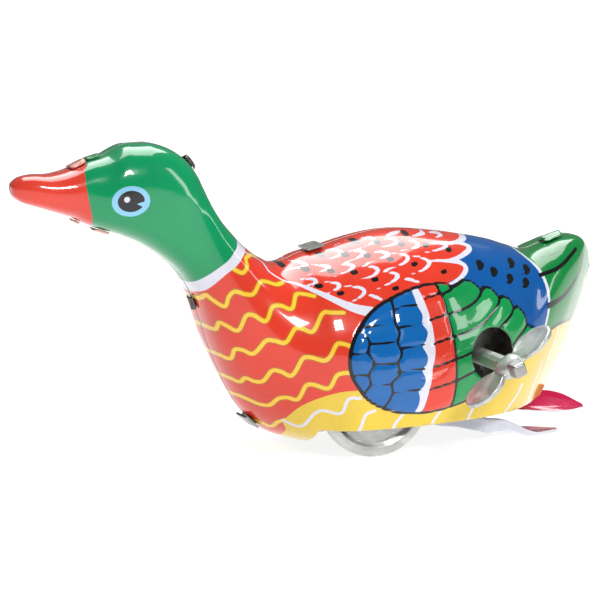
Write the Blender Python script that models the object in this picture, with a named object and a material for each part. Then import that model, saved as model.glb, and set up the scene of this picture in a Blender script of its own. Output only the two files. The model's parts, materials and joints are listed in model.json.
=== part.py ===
"""Wind-up tin duck: two pressed tin half shells over a spring clockwork, two front wheels, two sliding feet and a key.
Metres, +Z up. The duck looks towards -X, its left side with the key is on -Y, and it stands on Z = 0."""
import math
from math import atan2, cos, hypot, pi, radians, sin

import bmesh
import bpy
import numpy as np
from mathutils import Matrix, Vector

MM = 0.001
SHIFT = Vector((-5.094, 8.975, 0.0))  # mm, from the seam and body frame to the centre of the footprint
GAP = 0.3  # mm, between pieces that touch on the real toy
WALL = 0.5  # mm, shell sheet as modelled
SEAM = 0.15  # mm, each half shell stops this far from the middle plane

WHEEL_R, WHEEL_WIDTH, WHEEL_Y = 15.0, 3.2, 16.6
AXLE = (13.0, 15.0)  # x, z of the wheel axle
WINDER = (39.6, 24.6)  # x, z of the winding arbor
MODULE = 0.6
AXLE_TEETH, CRANK_TEETH, PINION_TEETH, GREAT_TEETH = 20, 30, 12, 37
SPEED_TEETH, GOVERNOR_TEETH = 36, 10
PLATE_Y, PLATE_T = 9.5, 0.8  # inner face and thickness of the frame plates
SHAFT_R = 1.2
CRANK_R = 10.0  # throw of the crank pins, and half the travel of each foot
CRANK_REST = radians(2)  # the right pin is this far above the level at rest
ROD_Y, ROD_T = 12.6, 1.0  # middle of a foot rod and its thickness
UNDERSIDE_Z, PROW_X = 8.0, -2.6  # the shell is open below this level and behind this point
KEY_HOLE, KEY_HOLE_R = (42.9, 25.0), 6.7
KEY_TILT = radians(40)  # angle of the wings above the level
KEY_WING_Y, KEY_PIN_END = -38.2, -44.9

# Half shell stations from tail to beak: top x, z, bottom x, z, half width, top and bottom section exponents.
STATIONS = (
    (83.6, 41.5, 62.0, -3.0, 0.0, 2.0, 2.0), (83.1, 44.6, 60.0, -4.0, 2.6, 2.4, 2.0),
    (81.6, 47.6, 57.0, -6.0, 5.8, 2.7, 2.2), (78.6, 49.9, 53.0, -8.0, 9.8, 3.0, 2.3),
    (73.5, 49.9, 48.5, -9.5, 13.8, 3.0, 2.4), (68.8, 48.5, 44.0, -10.0, 16.8, 2.7, 2.4),
    (63.6, 47.2, 39.5, -10.0, 19.2, 2.3, 2.3), (58.2, 48.8, 35.0, -10.0, 21.2, 2.1, 2.2),
    (52.5, 50.7, 31.0, -10.0, 22.8, 2.0, 2.1), (44.5, 52.5, 26.5, -10.0, 24.0, 1.9, 2.0),
    (36.0, 54.0, 22.0, -10.0, 25.2, 1.9, 2.0), (27.0, 55.0, 17.5, -9.5, 25.7, 1.9, 2.0),
    (20.0, 54.8, 13.0, -8.0, 25.7, 1.9, 2.1), (13.0, 53.6, 8.5, -5.5, 25.3, 1.9, 2.3),
    (6.0, 51.9, 4.0, -2.0, 24.6, 1.9, 2.6), (0.0, 50.6, -0.5, 2.2, 23.4, 1.9, 2.7),
    (-5.0, 48.9, -5.5, 3.8, 21.6, 1.9, 2.4), (-9.0, 49.0, -10.4, 5.8, 19.6, 2.0, 2.0),
    (-12.6, 50.8, -14.6, 9.4, 17.6, 2.1, 1.8), (-15.6, 52.8, -17.9, 13.2, 15.8, 2.3, 1.7),
    (-18.6, 55.4, -21.0, 18.6, 14.2, 2.5, 1.8), (-21.4, 58.4, -23.6, 24.2, 12.8, 2.6, 2.0),
    (-24.0, 61.6, -26.0, 30.0, 11.5, 2.7, 2.3), (-26.1, 65.0, -28.2, 36.8, 10.4, 2.7, 2.6),
    (-27.5, 67.8, -30.6, 43.0, 9.6, 2.7, 2.8), (-28.6, 70.4, -34.0, 48.2, 9.3, 2.6, 2.8),
    (-30.0, 73.3, -38.8, 52.4, 9.6, 2.5, 2.6), (-32.5, 76.5, -44.2, 55.9, 10.1, 2.4, 2.5),
    (-36.8, 79.4, -49.3, 58.2, 10.3, 2.4, 2.5), (-42.2, 81.0, -54.0, 59.9, 10.1, 2.4, 2.5),
    (-48.0, 80.9, -57.6, 61.2, 9.4, 2.4, 2.4), (-53.4, 78.6, -60.0, 62.3, 8.3, 2.5, 2.4),
    (-58.2, 77.3, -62.2, 63.5, 7.4, 2.5, 2.4), (-62.8, 75.5, -65.4, 64.6, 6.7, 2.4, 2.4),
    (-67.6, 74.6, -69.2, 65.9, 5.9, 2.4, 2.4), (-72.2, 74.7, -72.8, 67.1, 4.9, 2.4, 2.4),
    (-75.6, 74.2, -75.4, 68.1, 3.6, 2.3, 2.3), (-77.6, 72.9, -77.3, 69.6, 1.9, 2.2, 2.2),
    (-78.0, 71.9, -77.8, 70.8, 0.0, 2.0, 2.0),
)
SECTION_STEPS = 12
TAIL_BOW, TAIL_ROWS = 2.6, 7  # mm the closed tail end bulges behind its chord, fading over this many rows
# The raised wing, as a closed loop of x, z.
WING = ((44, 44), (34, 44.4), (26, 43.4), (19, 39.6), (14, 34), (11.6, 27), (12.6, 21), (16, 16.6),
        (23, 13.8), (32, 13.2), (40, 14.6), (47, 18), (56, 26), (60, 33), (57, 38), (50, 42))
WING_RISE, WING_SLOPE = 1.1, 3.0


def clear_scene():
    for obj in list(bpy.data.objects):
        bpy.data.objects.remove(obj, do_unlink=True)


def material(name, colour, roughness, metallic):
    mat = bpy.data.materials.new(name)
    mat.use_nodes = True
    shader = mat.node_tree.nodes["Principled BSDF"]
    shader.inputs["Base Color"].default_value = (*colour, 1.0)
    shader.inputs["Roughness"].default_value = roughness
    shader.inputs["Metallic"].default_value = metallic
    return mat


RED, STEEL, DARK = (0.75, 0.08, 0.03), (0.42, 0.42, 0.42), (0.16, 0.15, 0.14)
ZINC, BRASS, MAGENTA = (0.50, 0.50, 0.49), (0.55, 0.38, 0.12), (0.38, 0.0, 0.05)


def finish(bm, name, colour, roughness, metallic, origin=(0, 0, 0), smooth=True):
    """Makes a named object of a mesh given in mm, with its origin at a point in mm."""
    bmesh.ops.recalc_face_normals(bm, faces=bm.faces)
    bmesh.ops.transform(bm, matrix=Matrix.Scale(MM, 4) @ Matrix.Translation(-Vector(origin)),
                        verts=bm.verts)
    mesh = bpy.data.meshes.new(name)
    bm.to_mesh(mesh)
    bm.free()
    obj = bpy.data.objects.new(name, mesh)
    bpy.context.collection.objects.link(obj)
    obj.location = (Vector(origin) + SHIFT) * MM
    mesh.materials.append(material(name, colour, roughness, metallic))
    if smooth:
        mesh.shade_smooth()
        mesh.set_sharp_from_angle(angle=radians(35))
    return obj


def cut(obj, bm, name):
    """Takes a mesh, given in mm, out of an object."""
    tool = finish(bm, name, STEEL, 0.5, 1.0, smooth=False)
    combine(obj, tool, "DIFFERENCE")


def join(obj, bm, name):
    """Adds a mesh, given in mm, to an object as one solid with it."""
    tool = finish(bm, name, STEEL, 0.5, 1.0, smooth=False)
    combine(obj, tool, "UNION")


def combine(obj, tool, how):
    """Applies one Boolean and removes its cutter."""
    tool.hide_render = True
    tool.display_type = "WIRE"
    step = obj.modifiers.new("Shape", "BOOLEAN")
    step.operation, step.solver, step.object = how, "EXACT", tool
    step.material_mode = "INDEX"
    bpy.context.view_layer.update()
    shaped = bpy.data.meshes.new_from_object(obj.evaluated_get(bpy.context.evaluated_depsgraph_get()))
    obj.modifiers.clear()
    old, obj.data = obj.data, shaped
    shaped.name = obj.name
    bpy.data.meshes.remove(old)
    bpy.data.objects.remove(tool, do_unlink=True)


def box(low, high):
    bm = bmesh.new()
    size = [b - a for a, b in zip(low, high)]
    middle = [(a + b) / 2 for a, b in zip(low, high)]
    bmesh.ops.create_cube(bm, size=1, matrix=Matrix.Translation(middle) @ Matrix.Diagonal((*size, 1)))
    return bm


def prism(outline, y0, y1):
    """A solid between two Y levels with an outline of x, z points."""
    bm = bmesh.new()
    rings = [[bm.verts.new((x, y, z)) for x, z in outline] for y in (y0, y1)]
    bm.faces.new(rings[0])
    bm.faces.new(rings[1])
    bridge(bm, *rings)
    return bm


def bridge(bm, ring_a, ring_b):
    for k in range(len(ring_a)):
        n = (k + 1) % len(ring_a)
        bm.faces.new((ring_a[k], ring_a[n], ring_b[n], ring_b[k]))


def lathe(centre, profile, sides=32):
    """A ring or solid about a Y axis through x, z, from radius, y points; radius 0 closes an end."""
    bm = bmesh.new()
    rings = []
    for radius, y in profile:
        count = sides if radius else 1
        rings.append([bm.verts.new((centre[0] + radius * cos(2 * pi * k / sides), y,
                                    centre[1] + radius * sin(2 * pi * k / sides))) for k in range(count)])
    closed = bool(profile[0][0])
    for a, b in zip(rings, rings[1:] + rings[:1] if closed else rings[1:]):
        for k in range(sides):
            n = (k + 1) % sides
            corners = [a[k % len(a)], a[n % len(a)], b[n % len(b)], b[k % len(b)]]
            bm.faces.new(list(dict.fromkeys(corners)))
    return bm


def tube(centre, inner, outer, y0, y1, sides=32):
    return lathe(centre, ((inner, y0), (outer, y0), (outer, y1), (inner, y1)), sides)


def rod(centre, radius, y0, y1, sides=24):
    bevel = min(0.25, radius / 4)
    profile = ((0, y0), (radius - bevel, y0), (radius, y0 + bevel), (radius, y1 - bevel),
               (radius - bevel, y1), (0, y1))
    return lathe(centre, profile, sides)


def circle(centre, radius, sides, start=0.0, sweep=2 * pi):
    """Points of an arc; a full turn leaves out its last point."""
    last = sides if abs(sweep) >= 2 * pi else sides - 1
    return [(centre[0] + radius * cos(start + sweep * k / last),
             centre[1] + radius * sin(start + sweep * k / last)) for k in range(sides)]


def gear(centre, teeth, bore, y0, y1, phase, module=MODULE):
    """A spur gear with narrowed trapezoid teeth; one tooth points at the phase angle."""
    pitch_r = module * teeth / 2
    tip, root, step = pitch_r + 0.9 * module, pitch_r - 1.2 * module, 2 * pi / teeth
    corners = ((root, -0.27), (tip, -0.10), (tip, 0.10), (root, 0.27))
    bm = bmesh.new()
    rings, bores = [], []
    for y in (y0, y1):
        ring, hole = [], []
        for t in range(teeth):
            for radius, part in corners:
                angle = phase + (t + part) * step
                ring.append(bm.verts.new((centre[0] + radius * cos(angle), y,
                                          centre[1] + radius * sin(angle))))
            angle = phase + (t - 0.5) * step
            hole.append(bm.verts.new((centre[0] + bore * cos(angle), y, centre[1] + bore * sin(angle))))
        for t in range(teeth):
            n = (t + 1) % teeth
            bm.faces.new(ring[4 * t:4 * t + 4] + [ring[4 * n], hole[n], hole[t]])
        rings.append(ring)
        bores.append(hole)
    bridge(bm, *rings)
    bridge(bm, *bores)
    return bm


def meet(p, q, from_p, from_q, below=True):
    """The point at two distances from two points."""
    dx, dz = q[0] - p[0], q[1] - p[1]
    apart = hypot(dx, dz)
    along = (from_p**2 - from_q**2 + apart**2) / (2 * apart)
    up = math.sqrt(from_p**2 - along**2) * (-1 if below else 1)
    return p[0] + (along * dx - up * dz) / apart, p[1] + (along * dz + up * dx) / apart


def mesh_phase(centre, teeth, driver, driver_teeth, driver_phase):
    """The phase that puts a space of this gear where a tooth of the driver points at it."""
    towards = atan2(centre[1] - driver[1], centre[0] - driver[0])
    lead = ((towards - driver_phase) / (2 * pi / driver_teeth)) % 1.0
    return towards + pi + (0.5 + lead) * 2 * pi / teeth


CRANK = meet(AXLE, WINDER, MODULE * (AXLE_TEETH + CRANK_TEETH) / 2,
             MODULE * (PINION_TEETH + GREAT_TEETH) / 2)
GOVERNOR = meet(AXLE, (AXLE[0] + 4, AXLE[1] + 40), MODULE * (SPEED_TEETH + GOVERNOR_TEETH) / 2, 29.0,
                below=False)


def wing_height(x, z):
    """The rise of the pressed wing at x, z."""
    loop = np.array(WING, float)
    point = np.array((x, z))
    nearest, inside = 1e9, False
    for a, b in zip(loop, np.roll(loop, -1, axis=0)):
        along = np.clip(np.dot(point - a, b - a) / np.dot(b - a, b - a), 0, 1)
        nearest = min(nearest, np.linalg.norm(point - a - along * (b - a)))
        if (a[1] > z) != (b[1] > z) and x < a[0] + (z - a[1]) * (b[0] - a[0]) / (b[1] - a[1]):
            inside = not inside
    return WING_RISE * min(1.0, nearest / WING_SLOPE) if inside else 0.0


def shell_skin(side):
    """Outer points of a half shell as an array of rows from tail to beak and columns from top to bottom."""
    rows = STATIONS
    skin = np.zeros((len(rows), SECTION_STEPS + 1, 3))
    for i, (tx, tz, bx, bz, half, top_n, bottom_n) in enumerate(rows):
        for j in range(SECTION_STEPS + 1):
            angle = pi * j / SECTION_STEPS
            power = 2 / (top_n if angle < pi / 2 else bottom_n)
            down = 0.5 - 0.5 * math.copysign(abs(cos(angle)) ** power, cos(angle))
            out = half * max(sin(angle), 0.0) ** power if 0 < j < SECTION_STEPS else 0.0
            bow = TAIL_BOW * max(0.0, 1 - i / TAIL_ROWS) ** 1.5 * 4 * down * (1 - down)
            x, z = tx + down * (bx - tx) + bow, tz + down * (bz - tz)
            lift = wing_height(x, z) if out > 3 else 0.0
            skin[i, j] = x, side * (SEAM + out + lift), z
    return skin


def inner_skin(skin, side):
    """The same grid moved inwards by the sheet's thickness, its rim kept in the seam plane."""
    rows = np.gradient(skin, axis=0)
    columns = np.gradient(skin, axis=1)
    normals = np.cross(rows, columns)
    normals *= np.sign(normals[len(skin) // 2, SECTION_STEPS // 2, 1]) * side
    lengths = np.linalg.norm(normals, axis=2, keepdims=True)
    inner = skin - WALL * normals / np.maximum(lengths, 1e-9)
    rim = rim_loop(len(skin))
    flat = np.array([skin[i, j, [0, 2]] for i, j in rim])
    run = np.roll(flat, -1, axis=0) - np.roll(flat, 1, axis=0)
    run /= np.linalg.norm(run, axis=1, keepdims=True)
    area = np.sum(flat[:, 0] * np.roll(flat[:, 1], -1) - flat[:, 1] * np.roll(flat[:, 0], -1))
    inward = np.stack([-run[:, 1], run[:, 0]], axis=1) * np.sign(area)
    for (i, j), place, step in zip(rim, flat, inward):
        inner[i, j] = place[0] + WALL * step[0], side * SEAM, place[1] + WALL * step[1]
    off = np.maximum(side * inner[:, :, 1], SEAM)
    inner[:, :, 1] = side * off
    return inner


def rim_loop(count):
    """Grid indices around the rim of the half shell, in order."""
    last = SECTION_STEPS
    return ([(i, 0) for i in range(count)] + [(count - 1, j) for j in range(1, last + 1)]
            + [(i, last) for i in range(count - 2, -1, -1)] + [(0, j) for j in range(last - 1, 0, -1)])


def half_shell(name, side):
    skin = shell_skin(side)
    grids = [skin, inner_skin(skin, side)]
    bm = bmesh.new()
    verts = [[[bm.verts.new(p) for p in row] for row in grid] for grid in grids]
    for grid in verts:
        for i in range(len(grid) - 1):
            for j in range(SECTION_STEPS):
                bm.faces.new((grid[i][j], grid[i + 1][j], grid[i + 1][j + 1], grid[i][j + 1]))
    loop = rim_loop(len(skin))
    for (i, j), (k, m) in zip(loop, loop[1:] + loop[:1]):
        bm.faces.new((verts[0][i][j], verts[0][k][m], verts[1][k][m], verts[1][i][j]))
    shell = finish(bm, name, RED, 0.25, 0.3)
    cut(shell, box((PROW_X, -40, -40), (120, 40, UNDERSIDE_Z)), "underside_cutter")
    for end in STRAP_ENDS:
        cut(shell, strap_piece(end, STRAP_WIDTH / 2 + GAP, (-1.2, 1.2), (-2.0, 2.0)), "strap_slot_cutter")
    shell.data.shade_smooth()
    shell.data.set_sharp_from_angle(angle=radians(40))
    return shell


def seat(x, z):
    """The point of the seam outline nearest to x, z, and the outward angle there."""
    outline = [s[:2] for s in STATIONS] + [s[2:4] for s in STATIONS[::-1]]
    best = None
    for a, b in zip(outline, outline[1:] + outline[:1]):
        run = (b[0] - a[0], b[1] - a[1])
        length = max(hypot(*run), 1e-9)
        along = min(max(((x - a[0]) * run[0] + (z - a[1]) * run[1]) / length, 0), length) / length
        place = (a[0] + along * run[0], a[1] + along * run[1])
        off = hypot(x - place[0], z - place[1])
        if best is None or off < best[0]:
            best = (off, (*place, atan2(-run[0], run[1])))
    return best[1]


# Mounting strap: its two outer ends near these x, z points of the seam outline.
STRAP_ENDS = (seat(3.2, 51.3), seat(-14.2, 9.0))
STRAP_WIDTH, STRAP_T = 4.6, 0.6


def strap_piece(end, half, across, height):
    """A box standing on the outline: half its width along it, a Y range and a range outwards."""
    x, z, angle = end
    bm = box((height[0], across[0], -half), (height[1], across[1], half))
    turn = Matrix.Translation((x, 0, z)) @ Matrix.Rotation(-angle, 4, "Y")
    bmesh.ops.transform(bm, matrix=turn, verts=bm.verts)
    return bm


# Bent tabs of the right shell: name, near x, z on the outline, width, length over the left shell.
TABS = (
    ("beak_tab", -61.2, 76.2, 3.8, 2.6), ("crown_tab", -55.8, 78.0, 3.2, 2.2),
    ("nape_tab", -29.6, 72.6, 3.0, 2.4), ("neck_tab", -28.9, 38.9, 3.4, 2.0),
    ("throat_tab", -58.6, 61.6, 3.0, 2.2), ("tail_tab", 75.5, 50.0, 3.6, 2.6),
)


def body_shells():
    left = half_shell("left_body_shell", -1)
    cut(left, lathe(KEY_HOLE, ((0, -40), (KEY_HOLE_R, -40), (KEY_HOLE_R, -12), (0, -12))), "key_hole_cutter")
    right = half_shell("right_body_shell", 1)
    for name, x, z, width, reach in TABS:
        place = seat(x, z)
        join(right, strap_piece(place, width / 2 - 0.1, (0.4, 1.8), (-0.6, 0.95)), name + "_root")
        join(right, strap_piece(place, width / 2, (-reach, 1.1), (GAP + 0.3, 1.05)), name)
    for shell in (left, right):
        shell.data.set_sharp_from_angle(angle=radians(40))


def mounting_strap():
    """A strip in the middle plane through both slots, its ends split and folded over the shell."""
    ends = STRAP_ENDS
    corners = [(x - 2.2 * cos(angle) - 2.0 * s * sin(angle), z - 2.2 * sin(angle) + 2.0 * s * cos(angle))
               for x, z, angle in ends for s in (-1, 1)]
    strap = finish(prism(corners, -STRAP_T / 2, STRAP_T / 2), "mounting_strap", STEEL, 0.4, 0.9)
    for k, end in enumerate(ends):
        join(strap, strap_piece(end, STRAP_WIDTH / 2, (-0.25, 0.25), (-3.0, 0.8)), "strap_neck")
        join(strap, strap_piece(end, STRAP_WIDTH / 2 - 0.05, (-3.1, 3.1), (0.45, 1.0)), "strap_ears")
    cut(strap, lathe(PILLARS["front_pillar"], ((0, -2), (1.5, -2), (1.5, 2), (0, 2))), "pillar_hole_cutter")


PILLARS = {"front_pillar": (-3.3, 35.0), "top_pillar": (24.5, 38.6), "rear_pillar": (52.4, 12.4),
           "spring_post": (29.2, 32.6)}
PLATE = ((-7.0, 38.5), (-7.0, 31.5), (4.0, 10.4), (9.0, 9.2), (52.0, 9.2), (55.6, 12.0), (55.6, 16.0),
         (51.0, 33.0), (44.0, 39.0), (28.0, 42.0), (0.0, 40.6))


def frame_plates():
    holes = [(AXLE, SHAFT_R), (CRANK, SHAFT_R), (WINDER, 1.6), (GOVERNOR, 0.8)]
    holes += [(place, 0.9) for place in PILLARS.values()]
    for name, side in (("left_frame_plate", -1), ("right_frame_plate", 1)):
        levels = sorted((side * PLATE_Y, side * (PLATE_Y + PLATE_T)))
        plate = finish(prism(PLATE, *levels), name, STEEL, 0.45, 0.9, smooth=False)
        for place, radius in holes:
            profile = ((0, levels[0] - 1), (radius + GAP, levels[0] - 1), (radius + GAP, levels[1] + 1),
                       (0, levels[1] + 1))
            cut(plate, lathe(place, profile, 16), "arbor_hole_cutter")


def pillars():
    """Round spacers between the plates, with thinner ends through them."""
    shoulder, end = PLATE_Y - GAP, PLATE_Y + PLATE_T + 0.3
    for name, place in PILLARS.items():
        profile = ((0, -end), (0.9, -end), (0.9, -shoulder), (1.2, -shoulder),
                   (1.2, shoulder), (0.9, shoulder), (0.9, end), (0, end))
        finish(lathe(place, profile, 16), name, STEEL, 0.4, 1.0)


def rod_guides():
    """A forked bracket outside each plate that keeps a foot rod in line."""
    for name, side in (("left_rod_guide", -1), ("right_rod_guide", 1)):
        near, far = PLATE_Y + PLATE_T + GAP, 15.4
        fork = finish(box((43.6, *sorted((side * near, side * far))[:1], 6.6),
                          (44.4, *sorted((side * near, side * far))[1:], 21.0)), name, STEEL, 0.45, 0.9,
                      smooth=False)
        slot = sorted((side * (ROD_Y - ROD_T / 2 - GAP), side * (ROD_Y + ROD_T / 2 + GAP)))
        cut(fork, box((43.0, slot[0], 0.0), (45.0, slot[1], 18.4)), "rod_slot_cutter")
        foot = sorted((side * near, side * (near + 0.8)))
        join(fork, box((43.6, foot[0], 12.0), (50.0, foot[1], 20.0)), "bracket_foot")


def wheel_profile():
    """Radius and y of a pressed disc wheel with a flat tread and a dished web, bore first."""
    h = WHEEL_WIDTH / 2
    bore, rim = SHAFT_R + GAP, WHEEL_R
    return ((bore, -h), (4.2, -h), (5.0, -h + 0.9), (11.8, -h + 0.9), (12.6, -h), (rim - 0.4, -h),
            (rim, -h + 0.4), (rim, h - 0.4), (rim - 0.4, h), (12.6, h), (11.8, h - 0.9), (5.0, h - 0.9),
            (4.2, h), (bore, h))


def wheel_set():
    origin = (AXLE[0], 0, AXLE[1])
    end = WHEEL_Y + WHEEL_WIDTH / 2 + 0.9
    finish(rod(AXLE, SHAFT_R, -end, end), "wheel_axle", STEEL, 0.3, 1.0, origin)
    finish(gear(AXLE, AXLE_TEETH, SHAFT_R + GAP, 2.0, 4.4, AXLE_PHASE), "axle_gear", BRASS, 0.35, 1.0, origin)
    finish(gear(AXLE, SPEED_TEETH, SHAFT_R + GAP, -5.0, -3.8, 0.0), "speed_gear", BRASS, 0.35, 1.0, origin)
    for name, side in (("left", -1), ("right", 1)):
        profile = [(r, side * WHEEL_Y + y) for r, y in wheel_profile()]
        finish(lathe(AXLE, profile, 56), name + "_wheel", ZINC, 0.35, 1.0, origin)
        levels = sorted((side * (PLATE_Y + PLATE_T + 0.4), side * (WHEEL_Y - WHEEL_WIDTH / 2 - GAP)))
        finish(tube(AXLE, SHAFT_R + GAP, 2.3, *levels, 20), name + "_axle_collar", STEEL, 0.4, 1.0, origin)


def crank_set():
    origin = (CRANK[0], 0, CRANK[1])
    arm_in, arm_out = PLATE_Y + PLATE_T + 0.4, 11.6
    finish(rod(CRANK, SHAFT_R, -arm_out - 0.2, arm_out + 0.2), "crank_arbor", STEEL, 0.3, 1.0, origin)
    finish(gear(CRANK, CRANK_TEETH, SHAFT_R + GAP, 2.2, 4.2, CRANK_PHASE), "crank_gear", BRASS, 0.35, 1.0,
           origin)
    finish(gear(CRANK, PINION_TEETH, SHAFT_R + GAP, 4.6, 8.8, PINION_PHASE), "crank_pinion", STEEL, 0.35,
           1.0, origin)
    for name, side in (("left", -1), ("right", 1)):
        angle = CRANK_REST + (pi if side < 0 else 0)
        pin = (CRANK[0] + CRANK_R * cos(angle), CRANK[1] + CRANK_R * sin(angle))
        outline = circle(CRANK, 3.0, 12, angle + pi / 2, pi) + circle(pin, 2.2, 10, angle - pi / 2, pi)
        levels = sorted((side * arm_in, side * arm_out))
        arm = finish(prism(outline, *levels), name + "_crank_arm", STEEL, 0.4, 1.0, origin)
        for place, radius in ((CRANK, SHAFT_R), (pin, 1.0)):
            profile = ((0, levels[0] - 1), (radius + GAP, levels[0] - 1), (radius + GAP, levels[1] + 1),
                       (0, levels[1] + 1))
            cut(arm, lathe(place, profile, 20), "crank_hole_cutter")
        finish(rod(pin, 1.0, *sorted((side * arm_in, side * (ROD_Y - ROD_T / 2 - 0.35))), 16),
               name + "_crank_pin", STEEL, 0.3, 1.0, origin)


def governor_set():
    origin = (GOVERNOR[0], 0, GOVERNOR[1])
    finish(rod(GOVERNOR, 0.8, -PLATE_Y - PLATE_T - 0.2, PLATE_Y + PLATE_T + 0.2, 12), "governor_arbor",
           STEEL, 0.3, 1.0, origin)
    finish(gear(GOVERNOR, GOVERNOR_TEETH, 0.8 + GAP, -5.6, -3.2, GOVERNOR_PHASE), "governor_pinion",
           STEEL, 0.35, 1.0, origin)
    finish(tube(GOVERNOR, 0.8 + GAP, 3.4, -1.6, 1.6, 24), "governor_flywheel", BRASS, 0.35, 1.0, origin)


RATCHET_R, RATCHET_TEETH = 5.2, 12
RATCHET_Y = (8.15, 9.1)  # beside the great wheel, which carries the click
PAWL_R, PAWL_ANGLE = 8.2, radians(100)
PAWL = (WINDER[0] + PAWL_R * cos(PAWL_ANGLE), WINDER[1] + PAWL_R * sin(PAWL_ANGLE))


def ratchet_outline():
    points = []
    for k in range(RATCHET_TEETH):
        angle = 2 * pi * k / RATCHET_TEETH
        points += [(WINDER[0] + r * cos(angle + a), WINDER[1] + r * sin(angle + a))
                   for r, a in ((RATCHET_R, 0.0), (RATCHET_R - 1.2, 0.06))]
    return points


def winding_set():
    origin = (WINDER[0], 0, WINDER[1])
    profile = ((0, PLATE_Y + PLATE_T + 0.2), (1.6, PLATE_Y + PLATE_T + 0.2), (1.6, -20.0), (1.35, -20.2),
               (1.35, -40.6), (0, -40.6))
    finish(lathe(WINDER, profile, 20), "winding_arbor", STEEL, 0.3, 1.0, origin)
    finish(gear(WINDER, GREAT_TEETH, 1.6 + GAP, 5.4, 7.8, GREAT_PHASE), "great_wheel", BRASS, 0.35, 1.0,
           origin)
    ratchet = finish(prism(ratchet_outline(), *RATCHET_Y), "ratchet_wheel", STEEL, 0.4, 1.0, origin)
    cut(ratchet, lathe(WINDER, ((0, 7), (1.6 + GAP, 7), (1.6 + GAP, 11), (0, 11)), 20),
        "ratchet_bore_cutter")
    finish(rod(PAWL, 0.8, RATCHET_Y[0] - 0.05, RATCHET_Y[1] + 0.1, 12), "pawl_pin", STEEL, 0.3, 1.0, origin)
    square = [(WINDER[0] + 1.75 * cos(a), WINDER[1] + 1.75 * sin(a))
              for a in (KEY_TILT + pi / 4 + k * pi / 2 for k in range(4))]
    finish(prism(square, KEY_PIN_END, -40.6 - GAP), "key_pin", STEEL, 0.25, 1.0, origin, smooth=False)
    winding_key(origin)


def wing_outline():
    """Half of the key's grip, in the wings' plane: distance from the stem and distance along it."""
    return [(2.6, -2.6)] + [(8.5 + 5.9 * cos(a), 5.3 * sin(a))
                            for a in np.linspace(radians(-150), radians(150), 18)] + [(2.6, 2.6)]


def winding_key(origin):
    bore, outer = 1.35 + GAP, 2.15
    key = finish(tube(WINDER, bore, outer, -40.3, -21.5, 28), "winding_key", ZINC, 0.4, 1.0, origin)
    for side in (-1, 1):
        outline = [(1.85, -2.2), *wing_outline(), (1.85, 2.2)]
        bm = bmesh.new()
        rings = [[bm.verts.new((side * s, KEY_WING_Y + along, t)) for s, along in outline]
                 for t in (-0.65, 0.65)]
        bm.faces.new(rings[0])
        bm.faces.new(rings[1])
        bridge(bm, *rings)
        turn = Matrix.Translation((WINDER[0], 0, WINDER[1])) @ Matrix.Rotation(-KEY_TILT, 4, "Y")
        bmesh.ops.transform(bm, matrix=turn, verts=bm.verts)
        join(key, bm, "key_wing")
    key.data.set_sharp_from_angle(angle=radians(35))


def mainspring():
    """A coiled strip from near the arbor out to its post, its coils apart."""
    turns, inner, outer, steps = 4.0, 3.2, 8.6, 66
    path = []
    end = atan2(PILLARS["spring_post"][1] - WINDER[1], PILLARS["spring_post"][0] - WINDER[0])
    for k in range(steps + 1):
        part = k / steps
        angle = end - 2 * pi * turns * (1 - part)
        radius = inner + (outer - inner) * part
        path.append((radius, angle))
    bm = bmesh.new()
    rings = []
    for radius, angle in path:
        ring = [(radius + r, y) for r, y in ((-0.2, -6.4), (0.2, -6.4), (0.2, 1.6), (-0.2, 1.6))]
        rings.append([bm.verts.new((WINDER[0] + r * cos(angle), y, WINDER[1] + r * sin(angle)))
                      for r, y in ring])
    for a, b in zip(rings, rings[1:]):
        bridge(bm, a, b)
    bm.faces.new(rings[0])
    bm.faces.new(rings[-1])
    finish(bm, "mainspring", (0.10, 0.10, 0.12), 0.35, 1.0)


def click_pawl():
    """A small click that rests against a ratchet tooth and swings on its own pin."""
    dx, dz = WINDER[0] - PAWL[0], WINDER[1] - PAWL[1]
    towards = atan2(dz, dx)
    tip = (PAWL[0] + 3.7 * cos(towards - 0.5), PAWL[1] + 3.7 * sin(towards - 0.5))
    outline = circle(PAWL, 1.9, 12, towards + 0.7, 2 * pi - 2.0) + [tip]
    pawl = finish(prism(outline, *RATCHET_Y), "click_pawl", STEEL, 0.4, 1.0, (PAWL[0], 0, PAWL[1]))
    cut(pawl, lathe(PAWL, ((0, 7), (0.8 + GAP, 7), (0.8 + GAP, 11), (0, 11)), 16), "pawl_hole_cutter")


def foot_rows(cant):
    """Middle x, z, half width and turn out of the upright of each section from the eye to the toe."""
    return ((15.4, 15.4, 1.0, 0), (16.2, 15.4, 1.9, 0), (18.0, 15.4, 2.3, 0), (20.4, 15.2, 2.1, 0),
            (24.0, 13.8, 1.9, 0), (27.5, 10.4, 1.6, 0), (31.5, 6.9, 1.2, 0), (38.0, 5.6, 1.1, 0),
            (43.0, 5.0, 1.8, 2), (45.0, 4.6, 1.9, 4), (48.0, 2.2, 2.2, 22), (51.0, 1.7, 2.7, 46 - cant * 0.3),
            (54.0, 1.2, 3.3, 66 - cant * 0.6), (57.0, 0.7, 3.9, 82 - cant * 0.9),
            (60.0, 0.5, 4.1, 90 - cant), (63.5, 0.5, 3.2, 90 - cant), (66.3, 0.7, 1.7, 90 - cant),
            (68.2, 0.8, 0.6, 90 - cant))


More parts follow.
